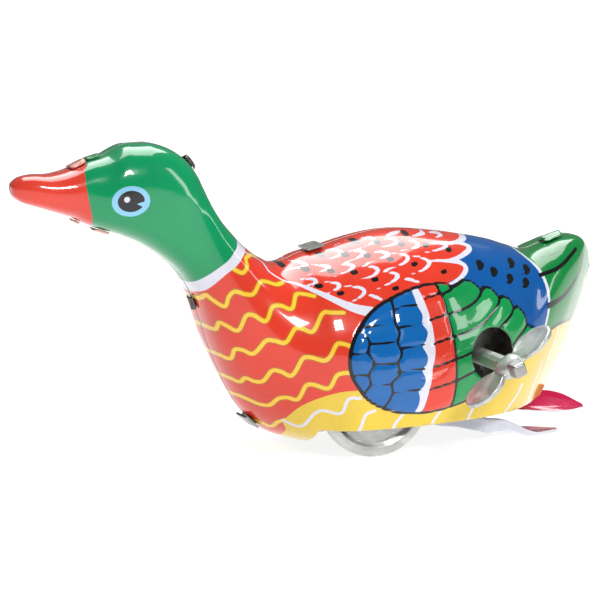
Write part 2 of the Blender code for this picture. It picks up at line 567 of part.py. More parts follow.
def foot(name, side, cant, ahead, drop):
    """A foot and its rod, one strip of sheet that turns from upright to nearly flat."""
    bm = bmesh.new()
    rings = []
    across = (-1.0, -0.5, 0.0, 0.5, 1.0)
    for x, z, half, turn in foot_rows(cant):
        lean = radians(turn)
        dish = 0.45 * sin(lean) * half
        up, out = Vector((0, 0, 1)), Vector((0, side, 0))
        width = (up * cos(lean) + out * sin(lean)) * half
        face = up * sin(lean) - out * cos(lean)
        middle = Vector((x + ahead, side * (ROD_Y - 1.6 * sin(lean)), z + drop + (half - 0.6) * cos(lean) *
                         (x > 45)))
        ring = []
        for level in (-ROD_T / 2, ROD_T / 2):
            for s in across if level < 0 else across[::-1]:
                point = middle + width * s + face * (level + dish * max(abs(s) - 0.5, 0))
                ring.append(bm.verts.new(point))
        rings.append(ring)
    for a, b in zip(rings, rings[1:]):
        bridge(bm, a, b)
    bm.faces.new(rings[0])
    bm.faces.new(rings[-1])
    obj = finish(bm, name, MAGENTA, 0.3, 0.1)
    eye = (18.0 + ahead, 15.4 + drop)
    cut(obj, lathe(eye, ((0, -20), (1.3, -20), (1.3, 20), (0, 20)), 16), "rod_eye_cutter")
    return obj


AXLE_PHASE = 0.0
CRANK_PHASE = mesh_phase(CRANK, CRANK_TEETH, AXLE, AXLE_TEETH, AXLE_PHASE)
PINION_PHASE = 0.2
GREAT_PHASE = mesh_phase(WINDER, GREAT_TEETH, CRANK, PINION_TEETH, PINION_PHASE)
GOVERNOR_PHASE = mesh_phase(GOVERNOR, GOVERNOR_TEETH, AXLE, SPEED_TEETH, 0.0)


def build():
    clear_scene()
    body_shells()
    mounting_strap()
    frame_plates()
    pillars()
    rod_guides()
    wheel_set()
    crank_set()
    governor_set()
    winding_set()
    mainspring()
    click_pawl()
    foot("left_foot", -1, 0, 0.0, 0.0)
    foot("right_foot", 1, 30, 2 * CRANK_R * cos(CRANK_REST), 0.4)


build()
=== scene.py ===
"""Looks of the wind-up tin duck: printed half shells, tabs, key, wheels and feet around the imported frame."""

import json
import math

import bmesh
import bpy
import numpy as np
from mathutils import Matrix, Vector


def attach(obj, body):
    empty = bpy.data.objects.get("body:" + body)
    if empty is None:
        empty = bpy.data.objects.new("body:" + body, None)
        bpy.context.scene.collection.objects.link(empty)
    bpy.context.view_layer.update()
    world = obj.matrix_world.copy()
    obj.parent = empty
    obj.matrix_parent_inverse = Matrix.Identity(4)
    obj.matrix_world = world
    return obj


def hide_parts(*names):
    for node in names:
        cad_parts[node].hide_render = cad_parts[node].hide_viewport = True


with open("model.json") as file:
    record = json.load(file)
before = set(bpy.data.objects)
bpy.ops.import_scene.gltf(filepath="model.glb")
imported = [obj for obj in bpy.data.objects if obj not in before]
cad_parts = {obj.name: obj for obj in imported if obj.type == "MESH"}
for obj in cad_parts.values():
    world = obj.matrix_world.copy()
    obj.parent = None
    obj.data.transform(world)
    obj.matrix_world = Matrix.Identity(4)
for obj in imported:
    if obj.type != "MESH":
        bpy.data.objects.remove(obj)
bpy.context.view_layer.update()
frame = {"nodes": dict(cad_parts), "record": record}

MM = 0.001
SHIFT = np.array((-5.094, 8.975, 0.0))  # mm, from the seam and body frame to the row frame

# ---------------------------------------------------------------- shape of the shells, mm
# Stations from tail to beak: top x, z, bottom x, z, half width, roundness above and below the middle.
STATIONS = (
    (83.6, 41.5, 62.0, -3.0, 0.0, 2.0, 2.0), (83.1, 44.6, 60.0, -4.0, 2.6, 2.4, 2.0),
    (81.6, 47.6, 57.0, -6.0, 5.8, 2.7, 2.2), (78.6, 49.9, 53.0, -8.0, 9.8, 3.0, 2.3),
    (73.5, 49.9, 48.5, -9.5, 13.8, 3.0, 2.4), (68.8, 48.5, 44.0, -10.0, 16.8, 2.7, 2.4),
    (63.6, 47.2, 39.5, -10.0, 19.2, 2.3, 2.3), (58.2, 48.8, 35.0, -10.0, 21.2, 2.1, 2.2),
    (52.5, 50.7, 31.0, -10.0, 22.8, 2.0, 2.1), (44.5, 52.5, 26.5, -10.0, 24.0, 1.9, 2.0),
    (36.0, 54.0, 22.0, -10.0, 25.2, 1.9, 2.0), (27.0, 55.0, 17.5, -9.5, 25.7, 1.9, 2.0),
    (20.0, 54.8, 13.0, -8.0, 25.7, 1.9, 2.1), (13.0, 53.6, 8.5, -5.5, 25.3, 1.9, 2.3),
    (6.0, 51.9, 4.0, -2.0, 24.6, 1.9, 2.6), (0.0, 50.6, -0.5, 2.2, 23.4, 1.9, 2.7),
    (-5.0, 48.9, -5.5, 3.8, 21.6, 1.9, 2.4), (-9.0, 49.0, -10.4, 5.8, 19.6, 2.0, 2.0),
    (-12.6, 50.8, -14.6, 9.4, 17.6, 2.1, 1.8), (-15.6, 52.8, -17.9, 13.2, 15.8, 2.3, 1.7),
    (-18.6, 55.4, -21.0, 18.6, 14.2, 2.5, 1.8), (-21.4, 58.4, -23.6, 24.2, 12.8, 2.6, 2.0),
    (-24.0, 61.6, -26.0, 30.0, 11.5, 2.7, 2.3), (-26.1, 65.0, -28.2, 36.8, 10.4, 2.7, 2.6),
    (-27.5, 67.8, -30.6, 43.0, 9.6, 2.7, 2.8), (-28.6, 70.4, -34.0, 48.2, 9.3, 2.6, 2.8),
    (-30.0, 73.3, -38.8, 52.4, 9.6, 2.5, 2.6), (-32.5, 76.5, -44.2, 55.9, 10.1, 2.4, 2.5),
    (-36.8, 79.4, -49.3, 58.2, 10.3, 2.4, 2.5), (-42.2, 81.0, -54.0, 59.9, 10.1, 2.4, 2.5),
    (-48.0, 80.9, -57.6, 61.2, 9.4, 2.4, 2.4), (-53.4, 78.6, -60.0, 62.3, 8.3, 2.5, 2.4),
    (-58.2, 77.3, -62.2, 63.5, 7.4, 2.5, 2.4), (-62.8, 75.5, -65.4, 64.6, 6.7, 2.4, 2.4),
    (-67.6, 74.6, -69.2, 65.9, 5.9, 2.4, 2.4), (-72.2, 74.7, -72.8, 67.1, 4.9, 2.4, 2.4),
    (-75.6, 74.2, -75.4, 68.1, 3.6, 2.3, 2.3), (-77.6, 72.9, -77.3, 69.6, 1.9, 2.2, 2.2),
    (-78.0, 71.9, -77.8, 70.8, 0.0, 2.0, 2.0),
)
SEAM, SHEET = 0.15, 0.42
UNDERSIDE_Z, PROW_X = 8.0, -2.6
KEY_HOLE, KEY_HOLE_R = (42.9, 25.0), 6.7
TAIL_BOW, TAIL_ROWS = 2.6, 7  # mm of bulge of the tail end, fading over this many stations
ROW_STEP, COLUMNS = 0.5, 118
WING_RISE = 1.0
CROWN_Z = 80.98

# ---------------------------------------------------------------- printed drawing, x and z in mm
BEAK = ((-57.5, 80), (-58.6, 77.2), (-60.4, 75.5), (-60.9, 72.4), (-60.3, 68.7), (-59.5, 65.6), (-58.3, 62.5),
        (-57.1, 60), (-57, 50), (-90, 50), (-90, 90), (-57.5, 90))
COLLAR_TOP = ((-42, 43.0), (-33, 44.6), (-32.0, 45.8), (-30.8, 47.0), (-28.6, 48.8), (-26.4, 50.5),
              (-24.7, 51.9), (-23.0, 53.7), (-21.3, 55.4), (-18.0, 59.5), (-14, 66))
COLLAR_LOW = ((-42, 40.0), (-31.8, 42.4), (-30.5, 43.4), (-29.5, 44.2), (-27.6, 46.3), (-25.2, 48.6),
              (-22.8, 50.4), (-21.0, 52.1), (-18.6, 53.9), (-15.0, 57.5), (-11, 64))
BELLY = ((-7.6, -14), (-8.2, 5.1), (-10.1, 9.7), (-9.6, 12.3), (-7.8, 15.1), (-4.1, 17.3), (0.3, 18.6),
         (4.5, 18.9), (12, 19), (30, 18), (48, 22), (60, 27.6), (62.5, 27.7), (68.5, 28.9), (77.0, 28.8),
         (79.6, 33.3), (82.6, 40.0), (95, 44), (95, -14))
RUMP = ((46.8, 60), (44.8, 52.0), (40, 51.6), (43.3, 50.1), (40.4, 49.0), (34.5, 47.9), (37.4, 47.4),
        (39.6, 46.0), (36.8, 44.2), (32.2, 42.6), (36, 36), (50, 28), (61.4, 27.6), (62.9, 33.2),
        (63.2, 37.7),
        (62.8, 41.9), (61.9, 44.6), (59.2, 47.8), (57, 60))
TAIL = ((57, 60), (59.2, 47.8), (61.9, 44.6), (62.8, 41.9), (63.2, 37.7), (62.9, 33.2), (61.4, 27.6),
        (62.5, 27.6), (68.5, 28.6), (77.0, 28.8), (79.6, 33.3), (82.6, 40.0), (95, 44), (95, 60))
TAIL_LINE = ((57.6, 50.5), (59.2, 47.8), (61.9, 44.6), (62.8, 41.9), (63.2, 37.7), (62.9, 33.2), (61.4, 27.6))
WAVES = (
    ((-24.5, 50.6), (-23.3, 49.5), (-21.4, 48.7), (-19.9, 50.2), (-19.8, 51.9), (-17.5, 52.3), (-14.5, 51.4)),
    ((-36, 42.9), (-31.4, 42.3), (-29.9, 41.5), (-29.3, 42.9), (-28.1, 41.8), (-25.7, 40.3), (-24.9, 42.8),
     (-23.5, 44.1), (-21.1, 43.4), (-19.2, 43.5), (-17.2, 46.0), (-15.3, 46.1), (-12.3, 45.1), (-10.1, 45.3)),
    ((-35, 35.6), (-29.0, 34.9), (-26.6, 33.9), (-26.3, 35.9), (-25.0, 35.3), (-22.6, 34.2), (-21.2, 37.9),
     (-19.5, 38.2), (-16.7, 36.7), (-14.9, 40.0), (-12.6, 40.3), (-9.9, 39.4), (-7.8, 42.4), (-5.7, 42.5),
     (-3.4, 42.0)),
    ((-33, 28.0), (-25.6, 27.3), (-22.9, 26.3), (-22.6, 29.0), (-21.1, 29.0), (-19.0, 28.3), (-16.8, 31.7),
     (-14.8, 31.8), (-12.4, 31.4), (-10.0, 34.7), (-8.1, 34.6), (-5.7, 34.0), (-2.8, 38.1), (-0.6, 38.3),
     (2.4, 38.2)),
    ((-30, 21.8), (-22.9, 21.2), (-20.1, 20.1), (-19.4, 21.4), (-17.6, 20.7), (-16.2, 21.1), (-15.0, 24.0),
     (-13.2, 23.9), (-10.9, 23.0), (-8.8, 27.2), (-7.0, 27.7), (-3.8, 26.8), (-2.3, 27.9), (-0.7, 30.7),
     (0.8, 30.9), (3.2, 30.0)),
    ((-27, 16.6), (-19.9, 16.2), (-17.7, 15.4), (-15.6, 14.4), (-13.8, 14.4), (-12.7, 16.5), (-11.1, 17.0),
     (-9.0, 16.7), (-7.8, 20.3), (-6.1, 20.7), (-2.6, 19.7), (-0.9, 22.8), (0.6, 23.5), (3.0, 23.5)),
    ((-22, 9.6), (-14.4, 9.0), (-11.4, 7.9), (-11.0, 9.6), (-9.9, 10.7)),
)
BELLY_WAVES = (
    ((-10.4, 10.4), (-7.7, 9.1), (-6.3, 9.3), (-5.1, 12.6), (-3.4, 13.8), (0.2, 12.9), (1.4, 13.7),
    (2.3, 16.8),
     (5.3, 16.9)),
    ((6.0, 8.0), (6.4, 9.6), (7.0, 12.4), (9.4, 13.4)), ((15.0, 8.0), (15.6, 9.6), (17.2, 11.8)),
    ((26.0, 8.0), (26.6, 9.6), (28, 11.6)), ((37, 8), (37.4, 9.6), (39, 13)),
    ((68.3, 29), (68.6, 26.3), (67.4, 22.6), (66.2, 19.6), (66.0, 14)),
    ((62.8, 19.6), (62.3, 16.8), (60.7, 13.2), (60.0, 8)), ((54.9, 15), (53.6, 12.4), (51.6, 10.4),
    (49.6, 8)),
)
ARCS = (
    ((15.0, 53.6), (17.3, 53.8), (17.8, 53.3), (16.3, 52.7), (11.4, 51.6)), ((26.4, 54.7), (23.7, 54.4),
    (21.1, 54.0)),
    ((33.1, 54.3), (32.4, 53.9), (30.0, 53.7), (27.2, 53.6)), ((34.6, 53.8), (37.2, 53.5), (37.4, 53.1),
    (34.5, 52.8)),
    ((8.3, 52.2), (11.5, 53.1)), ((4.6, 51.2), (7.1, 51.4), (8.2, 51.1), (6.6, 50.3), (2.8, 49.4)),
    ((20.3, 53.5), (22.6, 53.5), (23.1, 52.9), (20.7, 52.3), (16.0, 51.7)),
    ((25.4, 52.9), (27.9, 52.7), (28.3, 51.9), (26.4, 51.4), (22.6, 51.2)),
    ((31.2, 52.1), (35.7, 51.6), (36.4, 51.0), (33.1, 50.5), (27.3, 50.2)),
    ((9.4, 51.3), (12.3, 51.3), (13.2, 50.9), (10.9, 50.0), (7.1, 49.1)),
    ((14.6, 51.1), (18.0, 51.0), (18.8, 50.5), (16.8, 49.8), (12.2, 48.8)),
    ((19.6, 50.7), (22.7, 50.3), (23.6, 49.5), (21.3, 48.3), (16.1, 47.3)),
    ((24.4, 50.0), (27.8, 49.1), (29.0, 48.0), (26.6, 46.7), (22.5, 45.9)),
    ((-4.1, 49.0), (-2.2, 48.9), (-1.9, 48.5), (-3.6, 47.9), (-8.8, 47.2)),
    ((-1.0, 48.7), (2.3, 48.4), (2.9, 48.1), (1.3, 47.5), (-2.9, 46.5)),
    ((5.4, 48.7), (8.0, 48.6), (8.8, 48.2), (7.0, 47.3), (2.7, 46.1)),
    ((10.5, 48.3), (13.4, 48.0), (14.4, 47.3), (12.2, 46.0), (6.5, 44.9)),
    ((15.2, 47.0), (17.9, 46.5), (19.0, 45.8), (17.0, 44.6), (12.1, 43.0)),
    ((19.7, 45.3), (22.5, 44.6), (25.5, 43.5)), ((-5.0, 45.6), (-2.2, 45.7), (-1.8, 45.1), (-2.8, 44.6),
    (-4.7, 44.4)),
    ((-0.2, 45.2), (2.8, 44.8), (3.3, 44.2), (2.0, 43.4), (-0.4, 42.9)),
    ((4.2, 44.1), (7.9, 43.7), (9.1, 42.8), (7.7, 41.6), (4.6, 40.4)), ((9.5, 42.1), (11.9, 41.2),
    (13.8, 40.1)),
)
SCALLOPS = (
    ((45.6, 55), (45.6, 53), (43.4, 51.8), (38.6, 51.4), (36.0, 51.6)),
    ((33.7, 52.1), (41.1, 51.2), (43.6, 50.1), (40.4, 48.8), (35.3, 48.1), (28.7, 48.5)),
    ((29.5, 48.6), (37.4, 47.5), (39.5, 46.0), (36.8, 44.0), (31.8, 42.6)),
)
HEARTS = ((-6.9, 48.4), (-2.6, 47.6), (3.1, 50.4), (2.8, 47.3), (8.3, 46.9), (13.2, 53.0), (8.5, 50.5),
          (13.5, 50.3), (18.7, 49.4), (12.7, 45.2), (17.3, 43.0), (24.6, 48.0), (32.3, 45.7), (-1.6, 44.2),
          (2.9, 42.5), (27.1, 54.2), (23.7, 52.3), (30.4, 51.7), (36.6, 50.2), (18.0, 52.9))
BAND = ((-19.6, 53.4, 0.2), (-14.4, 50.6, 0.25), (-13.4, 49.2, 0.3), (-12.8, 47.8, 0.3), (-9.3, 45.5, 0.3),
        (-6.6, 44.8, 0.4), (-2.2, 42.8, 0.65), (2.4, 40.4, 0.95), (5.6, 39.0, 1.15), (9.4, 38.0, 1.4))
COMMAS = ((43.5, 46.3), (47.0, 44.5), (51.4, 42.5), (56.3, 41.0), (53.7, 45.8), (58.0, 43.9))
WING = ((34.1, 42.4), (30.9, 43.3), (27.1, 43.5), (23.2, 43.1), (19.2, 42.2), (15.2, 40.9), (11.2, 39.2),
        (8.1, 37.1), (5.9, 34.8), (3.9, 32.2), (2.6, 29.0), (2.2, 25.7), (2.9, 22.3), (4.7, 19.3),
        (6.4, 17.0),
        (8.7, 15.2), (12.5, 13.3), (17.2, 12.0), (22.0, 11.6), (26.7, 11.8), (31.6, 12.5), (35.5, 13.4),
        (40.4, 15.1), (46, 17.4), (52, 20.0), (56.2, 22.4), (59.0, 25.0), (59.2, 27.4), (57.6, 29.6),
        (55.2, 31.0),
        (54.6, 33.4), (52.6, 35.6), (51.2, 35.7), (50.2, 37.7), (48.4, 38.7), (47.0, 38.6), (45.4, 40.6),
        (43.2, 41.4), (42.1, 40.8), (40, 42.8), (37.1, 43.5))
BLUE_LINES = (
    ((5.7, 33.8), (7.4, 31.2), (6.9, 28.5), (8.3, 25.8), (6.9, 22.9), (7.4, 20.6), (6.0, 18.3)),
    ((15.2, 40.6), (15.0, 35.1), (15.7, 32.7), (14.9, 30.4), (15.8, 27.7), (14.6, 25.4), (15.2, 22.6),
     (13.0, 20.4), (13.3, 17.7), (11.5, 14.0)),
    ((2.9, 28.4), (7.0, 28.2)), ((2.6, 23.0), (7.0, 22.8)), ((6.6, 34.4), (10, 35.0), (15.2, 35.3)),
    ((7.6, 30.6), (11, 30.5), (15.0, 31.0)), ((8.0, 25.5), (11, 25.3), (14.8, 25.5)),
    ((7.2, 20.3), (10, 20.0), (13.0, 20.1)), ((15.2, 38.4), (18, 38.9), (21.6, 39.1)),
    ((15.6, 34.0), (19, 34.4), (22.6, 34.4)), ((15.4, 29.0), (18.5, 29.2), (22.2, 29.3)),
    ((14.6, 23.2), (18, 23.3), (21.9, 23.4)), ((13.2, 18.1), (17, 18.0), (21.0, 18.2)),
)
WHITE_LEFT = ((21.0, 44), (21.6, 39.2), (22.6, 36.6), (22.2, 34.6), (23.4, 32.4), (22.4, 30.0), (21.6, 29.0),
              (22.9, 26.4), (22.4, 24.3), (21.2, 23.2), (22.3, 20.6), (21.4, 18.4), (20.4, 17.9),
              (20.9, 15.0),
              (19.4, 10))
WHITE_RIGHT = ((22.6, 45), (23.4, 41.6), (24.2, 38.2), (24.9, 34.1), (25.1, 30.9), (25.1, 27.2), (24.2, 22.7),
               (23.8, 19.2), (22.8, 14.9), (21.6, 10))
RED_RIGHT = ((28.3, 44.5), (28.9, 42.0), (29.7, 39.2), (29.9, 35.9), (30.5, 32.8), (30.9, 30.0), (31.2, 27.0),
             (31.4, 24.5), (31.5, 21.1), (31.5, 18.4), (31.2, 14.9), (30.4, 10))
RED_LINES = (((24.2, 40.4), (29.2, 41.2)), ((24.6, 35.2), (30.0, 36.2)), ((25.0, 29.4), (30.9, 30.6)),
             ((24.4, 23.5), (31.3, 24.9)), ((23.8, 17.9), (31.5, 19.3)))
FEATHER_LINES = (
    ((29.8, 36.1), (34.6, 36.8), (38.6, 38.0), (41.2, 39.7), (42.4, 41.1)),
    ((30.9, 30.6), (35.8, 31.3), (40.2, 32.8), (43.6, 35.0), (46.2, 37.2), (47.1, 38.7)),
    ((31.3, 24.9), (36.4, 26.1), (41, 28.6), (46.3, 31.8), (49.6, 34.0), (51.2, 35.9)),
    ((31.5, 19.3), (36.4, 20.9), (42, 22.6), (48.2, 25.4), (51.5, 28.1), (54.0, 30.0), (55.3, 31.2)),
    ((29.6, 41.0), (32.2, 41.6), (34.1, 42.6)),
)
TAIL_LINES = (((62.2, 42.1, 0.6), (67.8, 43.6, 0.55), (71.8, 45.6, 0.5), (75.3, 47.4, 0.5)),
              ((62.9, 34.6, 0.8), (68.6, 36.0, 0.75), (73.6, 38.9, 0.7), (76.6, 41.8, 0.7),
              (78.2, 45.6, 0.6)),
              ((62.2, 45.6, 0.15), (65.2, 45.9, 0.25), (69.1, 47.0, 0.2), (75.9, 49.6, 0.15)))
TAIL_EDGE = ((62.0, 27.5), (68.5, 28.8), (73.6, 28.5), (77.0, 28.9), (79.6, 33.3), (82.2, 38.4), (83.0, 42))
EYE, EYE_HALF, PUPIL_HALF = (-50.1, 68.0), (4.8, 3.8), (3.4, 2.65)
GLINT, GLINT_R = (-51.2, 68.5), 0.75
EYE_NOTCH = ((-48.9, 67.3), (-45.9, 68.1), (-45.0, 66.6), (-46.0, 65.0), (-47.6, 65.0), (-46.9, 66.5))


# ---------------------------------------------------------------- small maths
def smooth_line(points, steps=6):
    """Catmull-Rom curve through the points, any number of columns."""
    p = np.array(points, float)
    if len(p) < 3:
        return p
    p = np.vstack([2 * p[0] - p[1], p, 2 * p[-1] - p[-2]])
    out = []
    for k in range(1, len(p) - 2):
        a, b, c, d = p[k - 1:k + 3]
        for t in np.arange(steps) / steps:
            out.append(b + 0.5 * t * (c - a + t * (2 * a - 5 * b + 4 * c - d + t * (3 * (b - c) + d - a))))
    return np.array(out + [p[-2]])


def stroke(at, line, width, smooth=True):
    """Distance along the surface to a line, less half its width. The line's third column is a half width.
    Each row of at is x, z and the same parts of the normal, so that lines keep their width on slopes."""
    line = smooth_line(line) if smooth else np.array(line, float)
    best = np.full(len(at), 1e3)
    widths = line[:, 2] if line.shape[1] > 2 else np.full(len(line), width)
    spots, tilt = at[:, :2], at[:, 2:4]
    for a, b, wa, wb in zip(line[:-1, :2], line[1:, :2], widths[:-1], widths[1:]):
        run = b - a
        along = np.clip(((spots - a) @ run) / max(run @ run, 1e-9), 0, 1)
        away = spots - a - along[:, None] * run
        off = np.hypot(*away.T)
        slope = np.sum(away * tilt, axis=1) / np.maximum(off, 1e-6)
        gap = off / np.sqrt(np.maximum(1 - slope ** 2, 0.04)) - (wa + along * (wb - wa))
        best = np.minimum(best, gap)
    return best


def region(at, loop, smooth=False):
    """Signed distance to a closed outline, negative inside."""
    loop = smooth_line(loop) if smooth else np.array(loop, float)
    inside = np.zeros(len(at), bool)
    for a, b in zip(loop, np.roll(loop, -1, axis=0)):
        crosses = (a[1] > at[:, 1]) != (b[1] > at[:, 1])
        rise = b[1] - a[1] if b[1] != a[1] else 1e-9
        inside ^= crosses & (at[:, 0] < a[0] + (at[:, 1] - a[1]) * (b[0] - a[0]) / rise)
    off = stroke(at, np.vstack([loop, loop[:1]]), 0.0, smooth=False)
    return np.where(inside, -off, off)


def ellipse(at, centre, half):
    """Close to the signed distance to an ellipse."""
    local = (at[:, :2] - np.array(centre)) / np.array(half)
    return (np.hypot(*local.T) - 1) * min(half)


def union(fields):
    return np.minimum.reduce(list(fields))


def tapered(line, thick, ends=0.12):
    """Adds a width column that is thickest past the middle and thin at both ends."""
    curve = smooth_line(line)
    part = np.linspace(0, 1, len(curve))
    swell = np.sin(np.pi * np.clip(part, 0, 1) ** 0.8)
    return np.column_stack([curve, ends + (thick - ends) * swell])


def artwork(at):
    """The printed fields at x, z points, as signed distances in mm, negative where the ink is."""
    collar = np.vstack([smooth_line(COLLAR_TOP), smooth_line(COLLAR_LOW)[::-1]])
    head = np.vstack([smooth_line(COLLAR_TOP), ((-14, 95), (-95, 95), (-95, 40))])
    wing = region(at, smooth_line(WING))
    cols = [smooth_line(c) for c in (WHITE_LEFT, WHITE_RIGHT, RED_RIGHT)]
    inner = wing + 0.35
    strip = [region(at, np.vstack([cols[k], cols[k + 1][::-1]])) for k in (0, 1)]
    feathers = region(at, np.vstack([cols[2], ((80, 10), (80, 45))]))
    fields = {
        "head": region(at, head), "beak": region(at, BEAK), "belly": region(at, smooth_line(BELLY, 4)),
        "rump": region(at, smooth_line(RUMP, 4)), "tail": region(at, smooth_line(TAIL, 4)),
        "wave": union(stroke(at, w, 0.5) for w in WAVES),
        "wing": inner, "feather": np.maximum(inner, feathers),
        "band": np.maximum(inner, strip[0]), "redcell": np.maximum(inner, strip[1]),
    }
    fields["white"] = union(
        [region(at, collar), stroke(at, BAND, 0), stroke(at, TAIL_LINE, 0.42)]
        + [stroke(at, w, 0.42) for w in BELLY_WAVES]
        + [stroke(at, tapered(a, 0.5), 0, smooth=False) for a in ARCS]
        + [stroke(at, tapered(a, 0.7, 0.25), 0, smooth=False) for a in SCALLOPS])
    fields["white"] = np.maximum(fields["white"], -inner)
    lines = union([np.abs(wing + 0.1) - 0.4, stroke(at, cols[2], 0.36, smooth=False)]
                  + [stroke(at, w, 0.33) for w in BLUE_LINES]
                  + [stroke(at, w, 0.36, smooth=False) for w in RED_LINES]
                  + [stroke(at, w, 0.38) for w in FEATHER_LINES])
    fields["lines"] = np.maximum(lines, wing - 0.3)
    marks = [union((ellipse(at, (x - 0.3, z), (0.75, 0.5)), ellipse(at, (x + 0.5, z + 0.15), (0.55, 0.5))))
             for x, z in HEARTS]
    commas = [union((ellipse(at, (x + 0.7, z + 0.1), (1.1, 0.95)),
                     stroke(at, ((x + 1.5, z - 0.1, 0.5), (x + 0.3, z - 1.0, 0.4),
                                 (x - 1.9, z - 1.0, 0.12)), 0)))
              for x, z in COMMAS]
    fields["marks"] = np.maximum(union(marks + commas + [stroke(at, t, 0) for t in TAIL_LINES]
                                       + [stroke(at, TAIL_EDGE, 0.55)]), -inner)
    pupil = np.maximum(ellipse(at, EYE, PUPIL_HALF), -region(at, EYE_NOTCH))
    fields["ring"] = ellipse(at, EYE, EYE_HALF)
    fields["pupil"], fields["glint"] = pupil, ellipse(at, GLINT, (GLINT_R, GLINT_R))
    return fields


# ---------------------------------------------------------------- meshes
def place(points):
    return (np.asarray(points, float) + SHIFT) * MM


def new_piece(name, bm, materials, smooth=True):
    mesh = bpy.data.meshes.new(name)
    bm.to_mesh(mesh)
    bm.free()
    obj = bpy.data.objects.new(name, mesh)
    bpy.context.scene.collection.objects.link(obj)
    for mat in materials:
        mesh.materials.append(mat)
    if smooth:
        mesh.shade_smooth()
    return obj


def shell_grid(side):
    """Dense outer points of a half shell, rows from tail to beak and columns from top to bottom, in mm."""
    stations = np.array(STATIONS)
    padded = np.vstack([2 * stations[0] - stations[1], stations, 2 * stations[-1] - stations[-2]])
    middles = (stations[:, :2] + stations[:, 2:4]) / 2
    spread = np.maximum(np.hypot(*np.diff(middles, axis=0).T), np.hypot(*np.diff(stations[:, :2], axis=0).T))
    rows, number = [], []
    for k in range(1, len(padded) - 2):
        a, b, c, d = padded[k - 1:k + 3]
        count = max(3, int(math.ceil(spread[k - 1] / ROW_STEP)))
        for t in np.arange(count) / count:
            rows.append(b + 0.5 * t * (c - a + t * (2 * a - 5 * b + 4 * c - d + t * (3 * (b - c) + d - a))))
            number.append(k - 1 + t)
    rows, number = np.array(rows + [stations[-1]]), np.array(number + [len(stations) - 1])
    bows = TAIL_BOW * np.maximum(0, 1 - number / TAIL_ROWS) ** 1.5
    rows[:, 4] = np.maximum(rows[:, 4], 0)
    rows[:, 1] = np.minimum(rows[:, 1], CROWN_Z)
    angle = np.linspace(0, math.pi, 361)
    grid = np.zeros((len(rows), COLUMNS + 1, 3))
    for i, (tx, tz, bx, bz, half, top_n, low_n) in enumerate(rows):
        power = 2 / np.where(angle < math.pi / 2, top_n, low_n)
        down = 0.5 - 0.5 * np.sign(np.cos(angle)) * np.abs(np.cos(angle)) ** power
        out = half * np.maximum(np.sin(angle), 0) ** power
        out[[0, -1]] = 0
        bow = bows[i] * 4 * down * (1 - down)
        fine = np.column_stack([tx + down * (bx - tx) + bow, out, tz + down * (bz - tz)])
        steps = np.concatenate([[0], np.cumsum(np.linalg.norm(np.diff(fine, axis=0), axis=1))])
        want = np.linspace(0, steps[-1], COLUMNS + 1)
        for axis in range(3):
            grid[i, :, axis] = np.interp(want, steps, fine[:, axis])
    grid[:, :, 1] = side * (SEAM + grid[:, :, 1])
    return grid


def half_shell(name, side, materials):
    grid = shell_grid(side)
    flat = grid.reshape(-1, 3)
    normals = np.cross(np.gradient(grid, axis=0), np.gradient(grid, axis=1)).reshape(-1, 3)
    normals /= np.maximum(np.linalg.norm(normals, axis=1, keepdims=True), 1e-9)
    at = np.column_stack([flat[:, [0, 2]], normals[:, [0, 2]]])
    fields = artwork(at)
    wing = fields["wing"] - 0.35
    out = np.abs(flat[:, 1])
    rise = WING_RISE * np.clip(-wing / 2.2, 0, 1) ** 0.5 * np.clip((out - 4) / 4, 0, 1)
    groove = 0.22 * np.clip(1 - np.maximum(fields["lines"], 0) / 0.7, 0, 1) * (wing < -0.8)
    flat[:, 1] += side * (rise - groove * np.clip((out - 4) / 4, 0, 1))
    rows, cols = grid.shape[:2]
    mesh = bpy.data.meshes.new(name)
    index = np.arange(rows * cols).reshape(rows, cols)
    quads = np.stack([index[:-1, :-1], index[1:, :-1], index[1:, 1:], index[:-1, 1:]], axis=-1).reshape(-1, 4)
    if side > 0:
        quads = quads[:, ::-1]
    mesh.from_pydata(place(flat).tolist(), [], quads.tolist())
    rim = np.minimum(out - SEAM, 30)
    for key, values in {**fields, "rim": rim}.items():
        attribute = mesh.attributes.new(key, "FLOAT", "POINT")
        attribute.data.foreach_set("value", np.clip(values, -20, 20).astype(np.float32))
    bm = bmesh.new()
    bm.from_mesh(mesh)
    level, prow = (UNDERSIDE_Z) * MM, (PROW_X + SHIFT[0]) * MM
    for co, no in (((0, 0, level), (0, 0, 1)), ((prow, 0, 0), (1, 0, 0))):
        parts = bm.verts[:] + bm.edges[:] + bm.faces[:]
        bmesh.ops.bisect_plane(bm, geom=parts, plane_co=co, plane_no=no, dist=1e-7)
    gone = [f for f in bm.faces
            if f.calc_center_median().z < level and f.calc_center_median().x > prow]
    if side < 0:
        hole = Vector(place((KEY_HOLE[0], 0, KEY_HOLE[1])))
        reach = KEY_HOLE_R * MM

        def off(co):
            return Vector((co.x - hole.x, 0, co.z - hole.z))

        gone += [f for f in bm.faces if off(f.calc_center_median()).length < reach]
    bmesh.ops.delete(bm, geom=list(set(gone)), context="FACES")
    loose = [v for v in bm.verts if not v.link_faces]
    bmesh.ops.delete(bm, geom=loose, context="VERTS")
    if side < 0:
        for v in [v for v in bm.verts if v.is_boundary and off(v.co).length < reach * 1.2]:
            v.co.x, v.co.z = (hole + off(v.co).normalized() * reach).xz
    bmesh.ops.dissolve_degenerate(bm, dist=1e-6, edges=bm.edges)
    bm.to_mesh(mesh)
    bm.free()
    obj = bpy.data.objects.new(name, mesh)
    bpy.context.scene.collection.objects.link(obj)
    for mat in materials:
        mesh.materials.append(mat)
    mesh.shade_smooth()
    solid = obj.modifiers.new("sheet", "SOLIDIFY")
    solid.thickness, solid.offset = SHEET * MM, -1
    solid.material_offset, solid.material_offset_rim = 1, 1
    return obj


